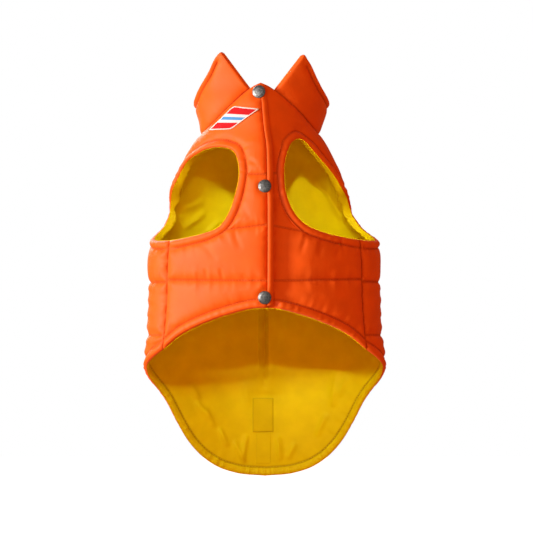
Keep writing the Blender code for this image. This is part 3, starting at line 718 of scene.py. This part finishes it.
# Creases of the fronts: x and height of both ends, half width, depth
LEFT_CREASES = [
    (-46, -5, -22, -11, 2.6, -1.3), (-24, -22, -6, -32, 2.4, -1.2), (-27, -64, -12, -84, 2.6, -0.9),
    (-20, -12, -4, -8, 3.0, 0.8), (-60, -104, -44, -122, 3.0, -0.8), (-30, -92, -22, -112, 2.6, -0.8),
    (-96, -116, -90, -134, 3.0, -0.7), (-56, -131, -53.5, -140.5, 1.3, -1.7),
    (-42, -130, -39, -140.5, 1.3, -1.8), (-21, -135, -19, -140.5, 1.2, -1.5),
    (-29, -135, -27, -140.5, 1.2, -1.4), (-64, -134, -62, -140.5, 1.2, -1.4),
]
RIGHT_CREASES = [
    (16, 6, 44, 1, 3.0, -1.1), (8, -30, 17, -40, 2.2, -0.9), (12, -78, 22, -92, 2.4, -1.1),
    (38, -101, 33, -116, 2.0, -1.2), (52, -104, 50, -118, 2.0, -0.9), (71, -106, 66, -120, 2.2, -1.3),
    (71, -96, 73, -111, 1.3, -2.2), (20, -118, 44, -124, 4.0, 0.7), (60, -130, 84, -126, 3.4, -0.7),
    (30, -150, 56, -157, 3.4, -0.6),
]
left_cut, right_cut = front_cut("left"), front_cut("right")
right_cut["covered"] = right_cut["closure"]
left_outer = make_shell("left_front_shell", "front_left", left_cut, seed=11,
                        look=nylon("left_front_nylon", ORANGE), creases=LEFT_CREASES)
right_outer = make_shell("right_front_shell", "front_right", right_cut, seed=23,
                         look=nylon("right_front_nylon", ORANGE), creases=RIGHT_CREASES)


# ---------------------------------------------------------------------------------------------
# Back. One wide quilted nylon panel from side seam to side seam, its tail long and rounded. Six
# lines of quilting cross it.
# ---------------------------------------------------------------------------------------------
TAIL_CORNER = 150.0       # turn at which the hem stops being a side of the back panel
BACK_QUILTS = (-294.5, -244.0, -193.8, -143.5, -93.0, -43.0)
SPINE_LEVELS = {"seam_foot": -212.0, "underarm": -120.0, "shoulder": -82.0}
BACK_COLUMNS = 130


def tail_corner(block, share, end_turn):
    """Fill the block of a stitched edge where the hem runs on from a column of the grid to its lowest row.

    Two sides of the block lie on the hem, and the surface between its four sides is blended from them.
    """
    down = np.linspace(block[0, 0, 0], end_turn, len(share))
    bottom = np.stack([down, smooth(HEM, "height", folded(down), "turn")], axis=1)
    up = np.linspace(0, 1, len(block))[:, None, None]
    across = np.linspace(0, 1, len(share))[:, None]
    left, top = block[:, :1], block[-1:]
    right = bottom[-1] + (block[-1, -1] - bottom[-1]) * up
    corners = ((1 - across) * (1 - up) * block[0, 0] + across * (1 - up) * bottom[-1]
               + (1 - across) * up * block[-1, 0] + across * up * block[-1, -1])
    return (1 - up) * bottom + up * top + (1 - across) * left + across * right - corners


def back_cut():
    """Grid of the back and its sewn lines, from the left side seam and armhole to the right ones."""
    counts = np.array((2, 2, 4, 3, 1, 3, 2, 5, 2, 2, 2))
    rows = np.concatenate([[0], np.cumsum(counts)])
    fine = rows * ROW_STEPS
    tail, loin, waist, rib, chest, neck = BACK_QUILTS
    edges, stitches, corners = [], [], []
    for side in ("left", "right"):
        loop, _, shoulder = armhole(side)
        turns = np.linspace(TAIL_CORNER, SIDE_SEAM_LOW, 80)
        hem = np.stack([turns, smooth(HEM, "height", turns, "turn")], axis=1)
        seam, under = side_seam(side), loop[:shoulder - 1:-1]
        to_neck = np.linspace(under[-1], neck_path(SHOULDER_TURN, SHOULDER_TURN, 1)[0], 40)
        path = np.concatenate([hem, seam[1:], under[1:], to_neck[1:]])
        run = lengths(path)
        seam_foot, underarm = run[len(hem) - 1], run[len(hem) + len(seam) - 2]
        arm_end = run[len(hem) + len(seam) + len(under) - 3]
        marks = [0, BAND, length_at(path, tail), length_at(path, loin), seam_foot,
                 length_at(path, waist), length_at(path, rib), underarm,
                 length_at(path, chest, underarm), arm_end, length_at(path, neck, arm_end), run[-1]]
        stitch = beside(path, steps_between(marks, counts), -BAND)
        corners.append([(4, points_at(path, [seam_foot + BAND])), (7, points_at(path, [underarm - BAND])),
                        (9, points_at(path, [arm_end + BAND]))])
        edges.append(mirrored(points_at(path, steps_between(marks, counts * ROW_STEPS)), side))
        stitches.append(mirrored(spread(stitch, (0, rows[4], rows[7], rows[9], rows[11])), side))
    left, right = stitches
    centre = steps_between([HEM["height"][-1], HEM["height"][-1] + BAND, tail, loin,
                            SPINE_LEVELS["seam_foot"], waist, rib, SPINE_LEVELS["underarm"], chest,
                            SPINE_LEVELS["shoulder"], neck, NECKLINE["height"][-1]],
                           counts * ROW_STEPS)
    across, arch_power = np.linspace(0, 1, BACK_COLUMNS + 1), 2.5
    arch = 1 - np.abs(2 * across - 1) ** arch_power
    turn = left[:, :1] + (right - left)[:, :1] * across
    level = left[:, 1:] + (right - left)[:, 1:] * across
    height = level + (centre - (left[:, 1] + right[:, 1]) / 2)[:, None] * arch
    height = follow_hem(turn, height, rows[2])
    share = np.concatenate([[0], band_steps()])
    bands = []
    for edge, column in ((edges[0], 0), (edges[1], -1)):
        stitch = np.stack([turn[:, column], height[:, column]], axis=1)
        band = edge[:, None] + (stitch - edge)[:, None] * share[:, None]
        band[:fine[1] + 1] = tail_corner(band[:fine[1] + 1], share, turn[0, column])
        bands.append(band[:, :-1] if column == 0 else band[:, -2::-1])
    turn, height = (np.concatenate([bands[0][..., k], field, bands[1][..., k]], axis=1)
                    for k, field in ((0, turn), (1, height)))
    first, last = BAND_COLUMNS, BAND_COLUMNS + BACK_COLUMNS
    number = np.arange(len(turn)) / ROW_STEPS
    neck_fade = np.clip((number - rows[10]) / counts[10], 0, 1)[:, None]
    height = height + neck_fade * (smooth(NECKLINE, "height", folded(turn[-1]), "turn") - height[-1])
    grid = (turn, height)
    to_seams = [np.linspace(trace(grid, fine[k], column)[0], mirrored(end, side)[0], 12)
                for side, column, ends in (("left", first, corners[0]), ("right", last, corners[1]))
                for k, end in ends]
    whole, inner = slice(None), slice(first, last + 1)
    lower_side, upper_side = slice(fine[1], fine[4] + 1), slice(fine[7], fine[9] + 1)
    return {
        "grid": grid,
        "quilts": [trace(grid, fine[k], inner) for k in (2, 3, 8)]
        + [trace(grid, fine[k], whole) for k in (5, 6, 10)],
        "bands": [trace(grid, fine[1], inner)] + to_seams
        + [trace(grid, part, column) for part in (lower_side, upper_side) for column in (first, last)],
        "seams": [trace(grid, part, column) for part in (slice(fine[4], fine[7] + 1),
                                                         slice(fine[9], None)) for column in (0, -1)]
        + [trace(grid, -1, whole)],
        "free": [trace(grid, 0, whole)] + [trace(grid, part, column)
                                           for part in (slice(0, fine[4] + 1), upper_side)
                                           for column in (0, -1)],
        "rims": [(np.s_[fine[7] + 1:fine[9], :first], np.s_[fine[7] + 1:fine[9], :1],
                  np.s_[fine[7] + 1:fine[9], 1:2]),
                 (np.s_[fine[7] + 1:fine[9], last:], np.s_[fine[7] + 1:fine[9], -1:],
                  np.s_[fine[7] + 1:fine[9], -2:-1])],
    }


body_back_cut = back_cut()
back_outer = make_shell("back_shell", "back", body_back_cut, seed=37, look=nylon("back_nylon", ORANGE))


# ---------------------------------------------------------------------------------------------
# Lining. Yellow nylon in three pieces that follow the panels, caught only at the stitched edges
# and the seams, so that between them it lies in soft creases.
# ---------------------------------------------------------------------------------------------
YELLOW = (0.67, 0.62, 0.001)
LINING_WALL, LINING_GAP = 0.35, 0.12
LINING_RIM = 0.9          # how far its rim stands out beyond the nylon's
SLACK, SLACK_SWELL = 1.5, 0.45        # how far it stands off the nylon between its seams, and how unevenly
LINING_ROLL, ARMHOLE_ROLL = 2.3, 5.2  # height of its stitched edge, and what padding adds at an armhole


def lining_depth(cut, outer, seed, creases):
    """How far in the lining's face lies: rolled and puckered at the edges, softly creased between.

    At the back edge of an armhole the roll is thicker, as the padding is pushed there.
    """
    points = torso(*cut["grid"])
    sewn, run = nearest(points, cut["bands"])
    edge = nearest(points, cut["free"])[0]
    loose = SLACK * (1 - np.exp(-(sewn / 6.0) ** 1.2))
    loose += SLACK_SWELL * waves(points, 38.0, SWELLS + 1, (1, 1, 2.2)) * (1 - np.exp(-sewn / 10.0))
    loose += 0.7 * ripple(run, seed + 1) * np.exp(-sewn / 6.0) * (1 - np.exp(-sewn / 1.1))
    loose += creased(points, creases) * (1 - np.exp(-sewn / 3.0))
    around = folded(cut["grid"][0])
    behind = np.clip((around - 34) / 16, 0, 1) * np.clip((126 - around) / 12, 0, 1)
    behind = behind * (points[..., 2] > -106)
    roll = (LINING_ROLL + ARMHOLE_ROLL * behind) * (1 - np.exp(-(sewn / 1.9) ** 1.2))
    roll += (0.8 + 0.4 * behind) * ripple(run, seed + 2, RIPPLE_PITCH) * (1 - np.exp(-sewn / 1.5))
    depth = np.where(edge < BAND, roll, loose) * rounded(edge, EDGE_RADIUS)
    return inner_face(outer) - LINING_GAP - LINING_WALL - np.clip(depth, 0, None), sewn, edge


def lining_look(name):
    """Duller yellow nylon, whose stitch grooves are darkened brown with painted shade."""
    return nylon(name, YELLOW, roughness=0.6, sheen=0.0, gloss=0.1, seam=(0.20, 0.09, 0.001, 1))


def make_lining(name, node, cut, outer, seed, creases=()):
    """Lining of one panel, cut to metres; returns how far in its face lies.

    Its rim stands out a little beyond the nylon's at the front hem and round the armholes.
    """
    inner, sewn, edge = lining_depth(cut, outer, seed, creases)
    turn, height = cut["grid"]
    points = torso(turn, height)
    beyond = np.zeros_like(points)
    for part, here, before in cut["rims"]:
        beyond[part] = points[here] - points[before]
    beyond /= np.linalg.norm(beyond, axis=-1, keepdims=True) + 1e-9
    beyond *= (LINING_RIM * np.clip(1 - edge / EDGE_RADIUS, 0, 1) ** 0.5)[..., None]
    # The last argument masks the stitch grooves, which the lining's material darkens with painted shade.
    piece = wall(name, torso(turn, height, inner_face(outer) - LINING_GAP) + beyond,
                 torso(turn, height, inner) + beyond, lining_look(name + "_nylon"), cloth_uv(turn, height),
                 np.exp(-(sewn / 0.9) ** 2))
    dress(piece, node, "lining_nylon")
    return inner


# Creases inside the tail: x and height of both ends, half width, how far they stand in
TAIL_CREASES = [
    (-1, -150, -1, -250, 14, 7.84), (-1, -150, -1, -246, 3.2, -8.96), (-20, -238, -16, -262, 3.0, 1.96),
    (-74, -240, -64, -256, 3.4, 2.24), (-68, -256, -54, -274, 3.0, 2.52), (-58, -262, -50, -282, 2.6, 2.24),
    (-45, -282, -36, -300, 2.6, 2.52), (-30, -294, -20, -316, 2.4, 3.08), (-18, -288, -22, -314, 2.4, 2.8),
    (12, -288, 15, -314, 2.6, 2.8), (30, -296, 22, -312, 2.6, 2.24), (60, -268, 50, -290, 3.0, 2.24),
    (70, -226, 66, -262, 3.6, 3.08), (80, -232, 72, -252, 3.0, 2.52), (-60, -66, -84, -74, 3.4, 2.24),
    (-58, -76, -80, -92, 3.0, 2.52), (-44, -84, -60, -98, 2.4, 1.68), (60, -50, 76, -84, 3.4, 1.68),
]
make_lining("left_front_lining", "lining_front_left", left_cut, left_outer, seed=51)
make_lining("right_front_lining", "lining_front_right", right_cut, right_outer, seed=57)
back_inner = make_lining("back_lining", "lining_back", body_back_cut, back_outer, seed=63,
                         creases=TAIL_CREASES)


# ---------------------------------------------------------------------------------------------
# Collar. A padded nylon stand, lined in yellow, sewn to the neckline and open in front, where each
# end rises to a point. Its upper edge is topstitched.
# ---------------------------------------------------------------------------------------------
COLLAR_START, COLLAR_POINT = (14.0, 343.0), (37.0, 321.0)
COLLAR_EDGE = {"half_width": 64.0, "half_depth": 56.0, "shift": -3.3, "axis": 12.0}
COLLAR_HEIGHTS = columns("turn height", [
    (37, 76.5), (44, 69), (52, 55.5), (60, 45.5), (75, 34), (90, 28), (140, 25), (180, 24),
])
# Where the edge is pushed up or down: turn, reach along it, rise
COLLAR_DENTS = [(65, 13, 3.6), (316.5, 3.0, -1.7)]
COLLAR_PUFF, COLLAR_GROOVE = 2.1, 0.5
COLLAR_BAND = 4.8         # width of its topstitched edge
TIP_RADIUS = 3.5
COLLAR_ROWS, COLLAR_COLUMNS = 34, 300
COLUMN_CROWD = 0.035      # brings the columns closer together at the points


def collar_grid():
    """Straight lines from the neckline to the free edge, with their directions out.

    Returns the points, the directions, the distance to the free edges and to the sewn lines, and
    the length along the collar.
    """
    around = np.linspace(0, 1, COLLAR_COLUMNS + 1)
    around = around + COLUMN_CROWD * np.sin(2 * np.pi * (1 - 2 * around)) * 0.5
    base_turn = COLLAR_START[0] + (COLLAR_START[1] - COLLAR_START[0]) * around
    edge_turn = COLLAR_POINT[0] + (COLLAR_POINT[1] - COLLAR_POINT[0]) * around
    base_height = smooth(NECKLINE, "height", folded(base_turn), "turn")
    base = torso(base_turn, base_height)
    base_out = torso(base_turn, base_height, 1.0) - base
    angle = np.radians(edge_turn)
    wide, deep = COLLAR_EDGE["half_width"], COLLAR_EDGE["half_depth"]
    edge = np.stack([COLLAR_EDGE["shift"] - wide * np.sin(angle),
                     COLLAR_EDGE["axis"] - deep * np.cos(angle),
                     smooth(COLLAR_HEIGHTS, "height", folded(edge_turn), "turn")], axis=1)
    edge_out = np.stack([-deep * np.sin(angle), -wide * np.cos(angle), 0 * angle], axis=1)
    edge_out /= np.linalg.norm(edge_out, axis=1, keepdims=True)
    for turn, reach, rise in COLLAR_DENTS:
        edge[:, 2] += rise * np.exp(-((edge_turn - turn) / reach) ** 2)
    size = np.linalg.norm(edge - base, axis=1)
    run = run_along(edge)
    trim = TIP_RADIUS * (1 - rounded(np.minimum(run, run[-1] - run), TIP_RADIUS))
    edge = base + (edge - base) * (1 - trim / size)[:, None]
    size = np.linalg.norm(edge - base, axis=1)
    band = COLLAR_BAND / size
    rise = np.concatenate([np.linspace(0, 1, COLLAR_ROWS)[:, None] * (1 - band),
                           1 - band * (1 - band_steps()[:, None])])
    middle = base + (edge - base) * rise[..., None]
    out = base_out + (edge_out - base_out) * rise[..., None]
    out /= np.linalg.norm(out, axis=2, keepdims=True)
    column_step = np.linalg.norm(np.gradient(middle, axis=1), axis=2) / np.gradient(around)
    to_end = np.minimum(around, 1 - around) * column_step * 0.8
    return middle, out, (1 - rise) * size, to_end, rise * size, run_along(edge)


def make_collar():
    """Padded collar and its lining, which meet round the free edges."""
    middle, out, to_top, to_end, to_neck, run = collar_grid()
    free = np.minimum(to_top, to_end)
    stitched = np.hypot(to_top - COLLAR_BAND, np.clip(9.0 - to_end, 0, None))
    sewn = np.minimum(stitched, to_neck)
    length = np.broadcast_to(run, sewn.shape)
    lift = (COLLAR_PUFF + COLLAR_GROOVE) * (1 - np.exp(-(sewn / 3.0) ** 1.1))
    lift = np.where(to_top < COLLAR_BAND, COLLAR_PUFF * (1 - np.exp(-sewn / 1.3)), lift) - COLLAR_GROOVE
    lift += 0.35 * ripple(length, 71) * np.exp(-sewn / 4.0) * (1 - np.exp(-sewn / 1.0))
    lift += 0.5 * waves(middle, 30.0, 73) * (1 - np.exp(-sewn / 7.0))
    outer = -EDGE_FOLD + (EDGE_FOLD + lift) * rounded(free, 2.4)
    inner = inner_face(outer)
    uv = np.stack([length * MM, to_neck * MM], axis=-1)
    # mask marks the stitch grooves, which both materials darken with painted shade.
    mask = np.exp(-(sewn / 0.9) ** 2)
    shell = wall("collar_shell", middle + out * outer[..., None], middle + out * inner[..., None],
                 nylon("collar_nylon", ORANGE), uv, mask)
    dress(shell, "collar", "shell_nylon")
    loose = 1.2 * (1 - np.exp(-sewn / 3.0)) + 0.4 * waves(middle, 26.0, 79) * (1 - np.exp(-sewn / 6.0))
    face = inner - LINING_GAP
    depth = face - LINING_WALL - np.clip(loose, 0, None) * rounded(free, 2.8)
    lining = wall("collar_lining", middle + out * face[..., None], middle + out * depth[..., None],
                  lining_look("collar_lining_nylon"), uv, mask)
    dress(lining, "lining_collar", "lining_nylon")


make_collar()


# ---------------------------------------------------------------------------------------------
# Placket edge. The left front's edge is turned and topstitched into a narrow roll that lies on the
# right front, pressed flat under each snap.
# ---------------------------------------------------------------------------------------------
PLACKET_WIDTH, PLACKET_CROWN = 5.9, 4.3
PLACKET_LAP = 0.4                     # how far it starts on the left front's side of the closure
PLACKET_TOP, PLACKET_FOOT = 2.5, 1.5  # what it keeps clear of the neckline and the hem


def make_placket():
    """Half an oval carried up the closure; it thins out at both ends and under the snaps."""
    low, high = HEM["height"][0] + PLACKET_FOOT, NECKLINE["height"][1] - PLACKET_TOP
    heights = np.linspace(low, high, 280)
    angle = np.linspace(0, np.pi, 15)
    across = (1 - np.cos(angle)) / 2
    height = np.repeat(heights[:, None], len(across), axis=1)
    x = smooth(CLOSURE, "x", height) - PLACKET_LAP + PLACKET_WIDTH * across
    turn = turn_at(x, height)
    under = 0.35 - 1.7 * across + 0 * height
    from_snap = np.min([np.abs(height - place) for _, place in SNAPS.values()], axis=0)
    press = 1 - 0.45 * np.exp(-(from_snap / 8.0) ** 4)
    ends = rounded(np.minimum(height - low, high - height), 3.0)
    flatter = 1 - 0.4 * np.clip(height / 60 + 1, 0, 1)
    crown = np.sin(angle) ** 0.55 * (PLACKET_CROWN + 0.22 * ripple(height, 83, 12.0))
    crown = crown * press * ends * flatter
    # Painted shade in the groove along the placket's left edge, where it meets the left front.
    sewn = 0.6 * np.exp(-PLACKET_WIDTH * across / 0.8) + 0 * height
    piece = wall("placket_edge", torso(turn, height, under + 0.02 + crown), torso(turn, height, under),
                 nylon("placket_nylon", ORANGE), cloth_uv(turn, height), sewn)
    dress(piece, "placket", "shell_nylon")


make_placket()


# ---------------------------------------------------------------------------------------------
# Sewing. Orange and yellow polyester thread, lockstitched at nine stitches to the inch along the
# quilting and the stitched edges.
# ---------------------------------------------------------------------------------------------
STITCH_PITCH, STITCH_LENGTH, THREAD_RADIUS = 2.9, 2.3, 0.2


THREAD_PROFILE = columns("share radius rise", [
    (0, 0.35, -0.2), (0.2, 1, 0.25), (0.8, 1, 0.25), (1, 0.35, -0.2),
])
THREAD_SIDES = 6


def stitches(name, lines, look, slot, lit):
    """Thread bridges along some lines: six-sided spindles that dive into the cloth at both ends.

    Each line has its points and the directions away from the cloth there.
    """
    starts, ends, lifts = [], [], []
    for line, out in lines:
        run = run_along(line)
        at = np.arange(0.3, run[-1] - STITCH_LENGTH, STITCH_PITCH)
        for length, store in ((0.0, starts), (STITCH_LENGTH, ends)):
            store.append(np.stack([np.interp(at + length, run, line[:, k]) for k in range(3)], axis=1))
        lifts.append(np.stack([np.interp(at, run, out[:, k]) for k in range(3)], axis=1))
    start, end, up = np.concatenate(starts), np.concatenate(ends), np.concatenate(lifts)
    side = np.cross(end - start, up)
    side /= np.linalg.norm(side, axis=1, keepdims=True)
    angle = np.linspace(0, 2 * np.pi, THREAD_SIDES, endpoint=False)
    ring = (side[:, None, None] * np.cos(angle)[:, None]
            + up[:, None, None] * np.sin(angle)[:, None]) * THREAD_RADIUS
    centre = (start[:, None] + (end - start)[:, None] * THREAD_PROFILE["share"][:, None]
              + up[:, None] * THREAD_PROFILE["rise"][:, None])
    points = centre[:, :, None] + ring * THREAD_PROFILE["radius"][:, None, None]
    k = np.arange(THREAD_SIDES)
    after = (k + 1) % THREAD_SIDES
    last = THREAD_SIDES * (len(THREAD_PROFILE["share"]) - 1)
    first_points = points.shape[1] * THREAD_SIDES * np.arange(len(points))[:, None, None]
    body = np.concatenate([np.stack([k, after, after + THREAD_SIDES, k + THREAD_SIDES], axis=1) + row
                           for row in range(0, last, THREAD_SIDES)])
    caps = np.stack([k[::-1], k + last])
    faces = ((body + first_points).reshape(-1, 4).tolist()
             + (caps + first_points).reshape(-1, THREAD_SIDES).tolist())
    piece = add_mesh(name, points.reshape(-1, 3), faces, look)
    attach(piece, "root")
    lit.objects.link(piece)


def thread_look(name, colour):
    """Twisted polyester: fine slanting bands across a satin thread."""
    made, shader, start = new_look(name)
    place = start.node("ShaderNodeTexCoord", (), (), out=3)
    twist = start.node("ShaderNodeTexWave", (), {"Vector": place, "Scale": 900.0, "Distortion": 1.0}, out=1)
    made.node_tree.links.new(twist.mix(shaded(colour, 0.75), shaded(colour, 1.1)).socket,
                             shader.inputs["Base Color"])
    set_sockets(shader, {"Roughness": 0.45})
    return made


def on_cloth(path, offset, away):
    """Points of a path a fixed way out, and the directions away from the cloth: 1 out, -1 in."""
    path = points_at(path, np.arange(0, lengths(path)[-1], 1.0))
    line = torso(path[:, 0], path[:, 1], offset)
    return line, torso(path[:, 0], path[:, 1], offset + away) - line


cuts = (left_cut, right_cut, body_back_cut)
stitches("shell_stitches", [on_cloth(path, 0.1 - GROOVE, 1) for cut in cuts
                            for path in cut["quilts"] + cut["bands"]],
         thread_look("orange_thread", ORANGE), "shell_nylon", lit_outside)
lining_face = -(NYLON_WALL + LINING_GAP + LINING_WALL)
stitches("lining_stitches", [on_cloth(path, lining_face - 0.1, -1) for cut in cuts for path in cut["bands"]],
         thread_look("yellow_thread", YELLOW), "lining_nylon", lit_inside)


# ---------------------------------------------------------------------------------------------
# Snaps. Three domed caps of brushed antique nickel, each with a rolled rim and a raised ring, set
# through the left front's edge.
# ---------------------------------------------------------------------------------------------
SNAP_RADIUS, SNAP_RISE = 6.25, 2.6
SNAP_SEATS = {"snap_top": 0.6, "snap_middle": 1.35, "snap_bottom": 1.55}
CAP_PROFILE = columns("radius height", [
    (0.80, 0.02), (0.93, 0.0), (0.985, 0.14), (1.0, 0.34), (0.985, 0.52), (0.94, 0.62), (0.88, 0.66),
    (0.84, 0.665), (0.80, 0.70), (0.74, 0.78), (0.66, 0.85), (0.60, 0.885), (0.565, 0.88),
    (0.53, 0.905), (0.49, 0.90), (0.45, 0.915), (0.3, 0.96), (0.15, 0.99), (0.05, 1.0),
])


def nickel(name):
    """Antique nickel: fine turned lines, darker towards the rim, brighter where it is rubbed."""
    made, shader, start = new_look(name)
    uv, _, radius = cloth_place(start)
    place = start.node("ShaderNodeTexCoord", (), (), out=3)
    brushed, blotch = noise(start, uv, 40.0, 4.0), noise(start, place, 700.0, 4.0)
    rim = radius.clamped(0.75, 0.9)
    tone = (blotch.clamped(0.35, 0.7) * 0.7 + brushed * 0.3) * (1 - rim * 0.35)
    tone = tone.mix((0.15, 0.135, 0.12, 1), (0.58, 0.55, 0.52, 1))
    finish(start, shader, tone, brushed + blotch, 0.00006, 0.6)
    start.tree.links.new((blotch * 0.25 + 0.32).socket, shader.inputs["Roughness"])
    set_sockets(shader, {"Metallic": 1.0})
    return made


def make_snap(name, look, sides=72):
    """Cap turned about the line that stands out from the cloth."""
    x, height = SNAPS[name]
    turn = turn_at(x - smooth(SECTIONS, "shift", height), height)
    axis = np.cross(torso(turn, height + 4) - torso(turn, height - 4),
                    torso(turn + 4, height) - torso(turn - 4, height))
    axis /= np.linalg.norm(axis)
    seat = torso(turn, height) + SNAP_SEATS[name] * axis
    side = np.cross([0, 0, 1.0], axis)
    side /= np.linalg.norm(side)
    up = np.cross(axis, side)
    angle = np.linspace(0, 2 * np.pi, sides, endpoint=False)
    ring = np.cos(angle)[:, None] * side + np.sin(angle)[:, None] * up
    radius, rise = CAP_PROFILE["radius"], CAP_PROFILE["height"]
    rings = seat + SNAP_RADIUS * radius[:, None, None] * ring + SNAP_RISE * rise[:, None, None] * axis
    count, top = len(radius), (len(radius) - 1) * sides
    points = np.concatenate([rings.reshape(-1, 3), [seat + 0.02 * SNAP_RISE * axis],
                             [seat + SNAP_RISE * axis]])
    k = np.arange(sides)
    after = (k + 1) % sides
    quads = np.concatenate([np.stack([k + row, after + row, after + row + sides, k + row + sides], axis=1)
                            for row in range(0, top, sides)])
    back = np.stack([after, k, np.full(sides, count * sides)], axis=1)
    crown = np.stack([k + top, after + top, np.full(sides, count * sides + 1)], axis=1)
    uv = np.stack([np.tile(angle / (2 * np.pi), count), np.repeat(radius, sides)], axis=1)
    uv = np.concatenate([uv, [[0, 0], [0, 0]]])
    piece = add_mesh(name + "_cap", points, quads.tolist() + back.tolist() + crown.tolist(), look, uv)
    dress(piece, name, "snap_metal")


for snap in SNAPS:
    make_snap(snap, nickel(snap + "_nickel"))


# ---------------------------------------------------------------------------------------------
# Chest patch. A plain woven patch in the shape of a slanted diamond, red with a pale stripe along it
# and a thick white overlocked edge, sewn to the left chest.
# ---------------------------------------------------------------------------------------------
# Corners from the lower left one round against the clock: x and height
PATCH_CORNERS = np.array([(-51.0, 1.2), (-29.8, 1.8), (-3.8, 21.2), (-28.4, 24.0)])
PATCH_ROUND = (0.13, 0.24)       # corner radii as shares of the half length and the half width
PATCH_HALF = (19.5, 8.0)
PATCH_CLEARANCE, PATCH_WALL = 0.2, 0.9
PATCH_RIM, RIM_RISE = 1.2, 0.4


def outer_near(turn, height, grid, outer):
    """How far the nylon stands out at other places than its grid's own."""
    flat_turn, flat_height, flat_outer = grid[0].ravel(), grid[1].ravel(), outer.ravel()
    found = np.empty(turn.size)
    for k, (t, h) in enumerate(zip(turn.ravel(), height.ravel())):
        apart = (1.5 * (flat_turn - t)) ** 2 + (flat_height - h) ** 2
        near = np.argpartition(apart, 4)[:4]
        weight = 1 / (apart[near] + 0.05)
        found[k] = (flat_outer[near] * weight).sum() / weight.sum()
    return found.reshape(turn.shape)


def patch_look():
    """Woven red field, a pale stripe with a blue line in it and a white edge, in the patch's own map."""
    made, shader, start = new_look("emblem_weave")
    _, u, v = cloth_place(start)
    rim = start.node("ShaderNodeAttribute", {"attribute_name": "sewn"}, (), out=2)
    off = start.math("ABSOLUTE", v)
    field = off.clamped(0.0028, 0.0031).mix((0.78, 0.80, 0.84, 1), (0.60, 0.004, 0.010, 1))
    field = off.clamped(0.0009, 0.0012).mix((0.08, 0.33, 0.74, 1), field)
    colour = rim.clamped(0.45, 0.55).mix(field, (0.84, 0.84, 0.82, 1))
    thread = (u * (2 * np.pi / 0.0008)).sine() * (v * (2 * np.pi / 0.0006)).sine()
    shade = thread.clamped(-1.0, 1.0).mix((0.82, 0.82, 0.82, 1), (1, 1, 1, 1))
    woven = start.node("ShaderNodeMix", {"data_type": "RGBA", "blend_type": "MULTIPLY"},
                       {0: 1.0, 6: colour, 7: shade}, out=2)
    finish(start, shader, woven, thread, 0.00006, 0.7)
    set_sockets(shader, {"Roughness": 0.75, "Specular IOR Level": 0.25})
    return made


def make_emblem():
    """Diamond laid on the cloth with rounded corners, its edge raised into a rolled rim."""
    side = np.sin(np.linspace(-np.pi / 2, np.pi / 2, 45))
    in_corner = np.clip(np.abs(side) - 1 + PATCH_ROUND[1], 0, None) / PATCH_ROUND[1]
    reach = 1 - PATCH_ROUND[0] * (1 - np.sqrt(1 - in_corner ** 2))
    u = reach[:, None] * np.sin(np.linspace(-np.pi / 2, np.pi / 2, 89))
    v = np.repeat(side[:, None], u.shape[1], axis=1)
    a, b = (u[..., None] + 1) / 2, (v[..., None] + 1) / 2
    low_left, low_right, top_right, top_left = PATCH_CORNERS
    flat = (1 - b) * ((1 - a) * low_left + a * low_right) + b * ((1 - a) * top_left + a * top_right)
    rim = np.concatenate([flat[0], flat[:, -1], flat[-1], flat[:, 0]])
    to_edge = np.linalg.norm(flat[:, :, None] - rim, axis=3).min(axis=2)
    x, height = flat[..., 0], flat[..., 1]
    turn = turn_at(x - smooth(SECTIONS, "shift", height), height)
    lift = outer_near(turn, height, left_cut["grid"], left_outer) + PATCH_CLEARANCE
    roll = RIM_RISE * np.sin(np.pi * np.clip(to_edge / PATCH_RIM, 0, 1))
    top = lift + PATCH_WALL * rounded(to_edge, 0.6) + roll
    uv = np.stack([u * PATCH_HALF[0], v * PATCH_HALF[1]], axis=-1) * MM
    piece = wall("chest_patch", torso(turn, height, top), torso(turn, height, lift - 0.01), patch_look(),
                 uv, (to_edge < 1.1).astype(float))
    dress(piece, "emblem", "emblem_weave")


make_emblem()


# ---------------------------------------------------------------------------------------------
# Lining patch and tape. An oblong of stiff yellow cloth with a woven tape below it, both laid flat
# and sewn to the lining inside the tail.
# ---------------------------------------------------------------------------------------------
# edge_shade: how strongly painted shade darkens a strip's edges.
LOOP_PATCH = {"x": -2.0, "low": -286.0, "high": -253.5, "width": 20.0, "rise": 0.9, "edge_shade": 1.0}
LOOP_TAPE = {"x": -1.5, "low": -316.5, "high": -286.8, "width": 14.0, "rise": 0.4, "edge_shade": 0.15}


def make_strip(name, node, size, colour, roughness, thread):
    """Flat strip on the tail's lining, its edges rounded, sewn down and darkened with painted shade."""
    share = np.sin(np.linspace(-np.pi / 2, np.pi / 2, 33))
    middle, half = (size["high"] + size["low"]) / 2, (size["high"] - size["low"]) / 2
    height = np.repeat((middle + half * share)[:, None], 33, axis=1)
    x = size["x"] + size["width"] / 2 * share
    turn = 180 + np.degrees(np.arcsin(x[None, :] / smooth(SECTIONS, "left", height)))
    to_edge = np.minimum(half * (1 - np.abs(share))[:, None], size["width"] / 2 * (1 - np.abs(share)))
    under = outer_near(turn, height, body_back_cut["grid"], back_inner) - 0.1
    face = under - 0.15 - size["rise"] * rounded(to_edge, 0.8)
    uv = np.stack([np.broadcast_to(x * MM, height.shape), height * MM], axis=-1)
    look = nylon(name + "_cloth", colour, roughness, sheen=0.0, gloss=0.1, thread=thread, relief=0.00012)
    piece = wall(name, torso(turn, height, under), torso(turn, height, face), look, uv,
                 size["edge_shade"] * np.exp(-to_edge / 0.5))
    dress(piece, node, "loop_cloth")


make_strip("tail_patch", "loop_patch", LOOP_PATCH, colour=(0.61, 0.55, 0.001), roughness=0.75, thread=0.0011)
make_strip("tail_tape", "loop_tape", LOOP_TAPE, colour=(0.65, 0.60, 0.001), roughness=0.7, thread=0.0013)
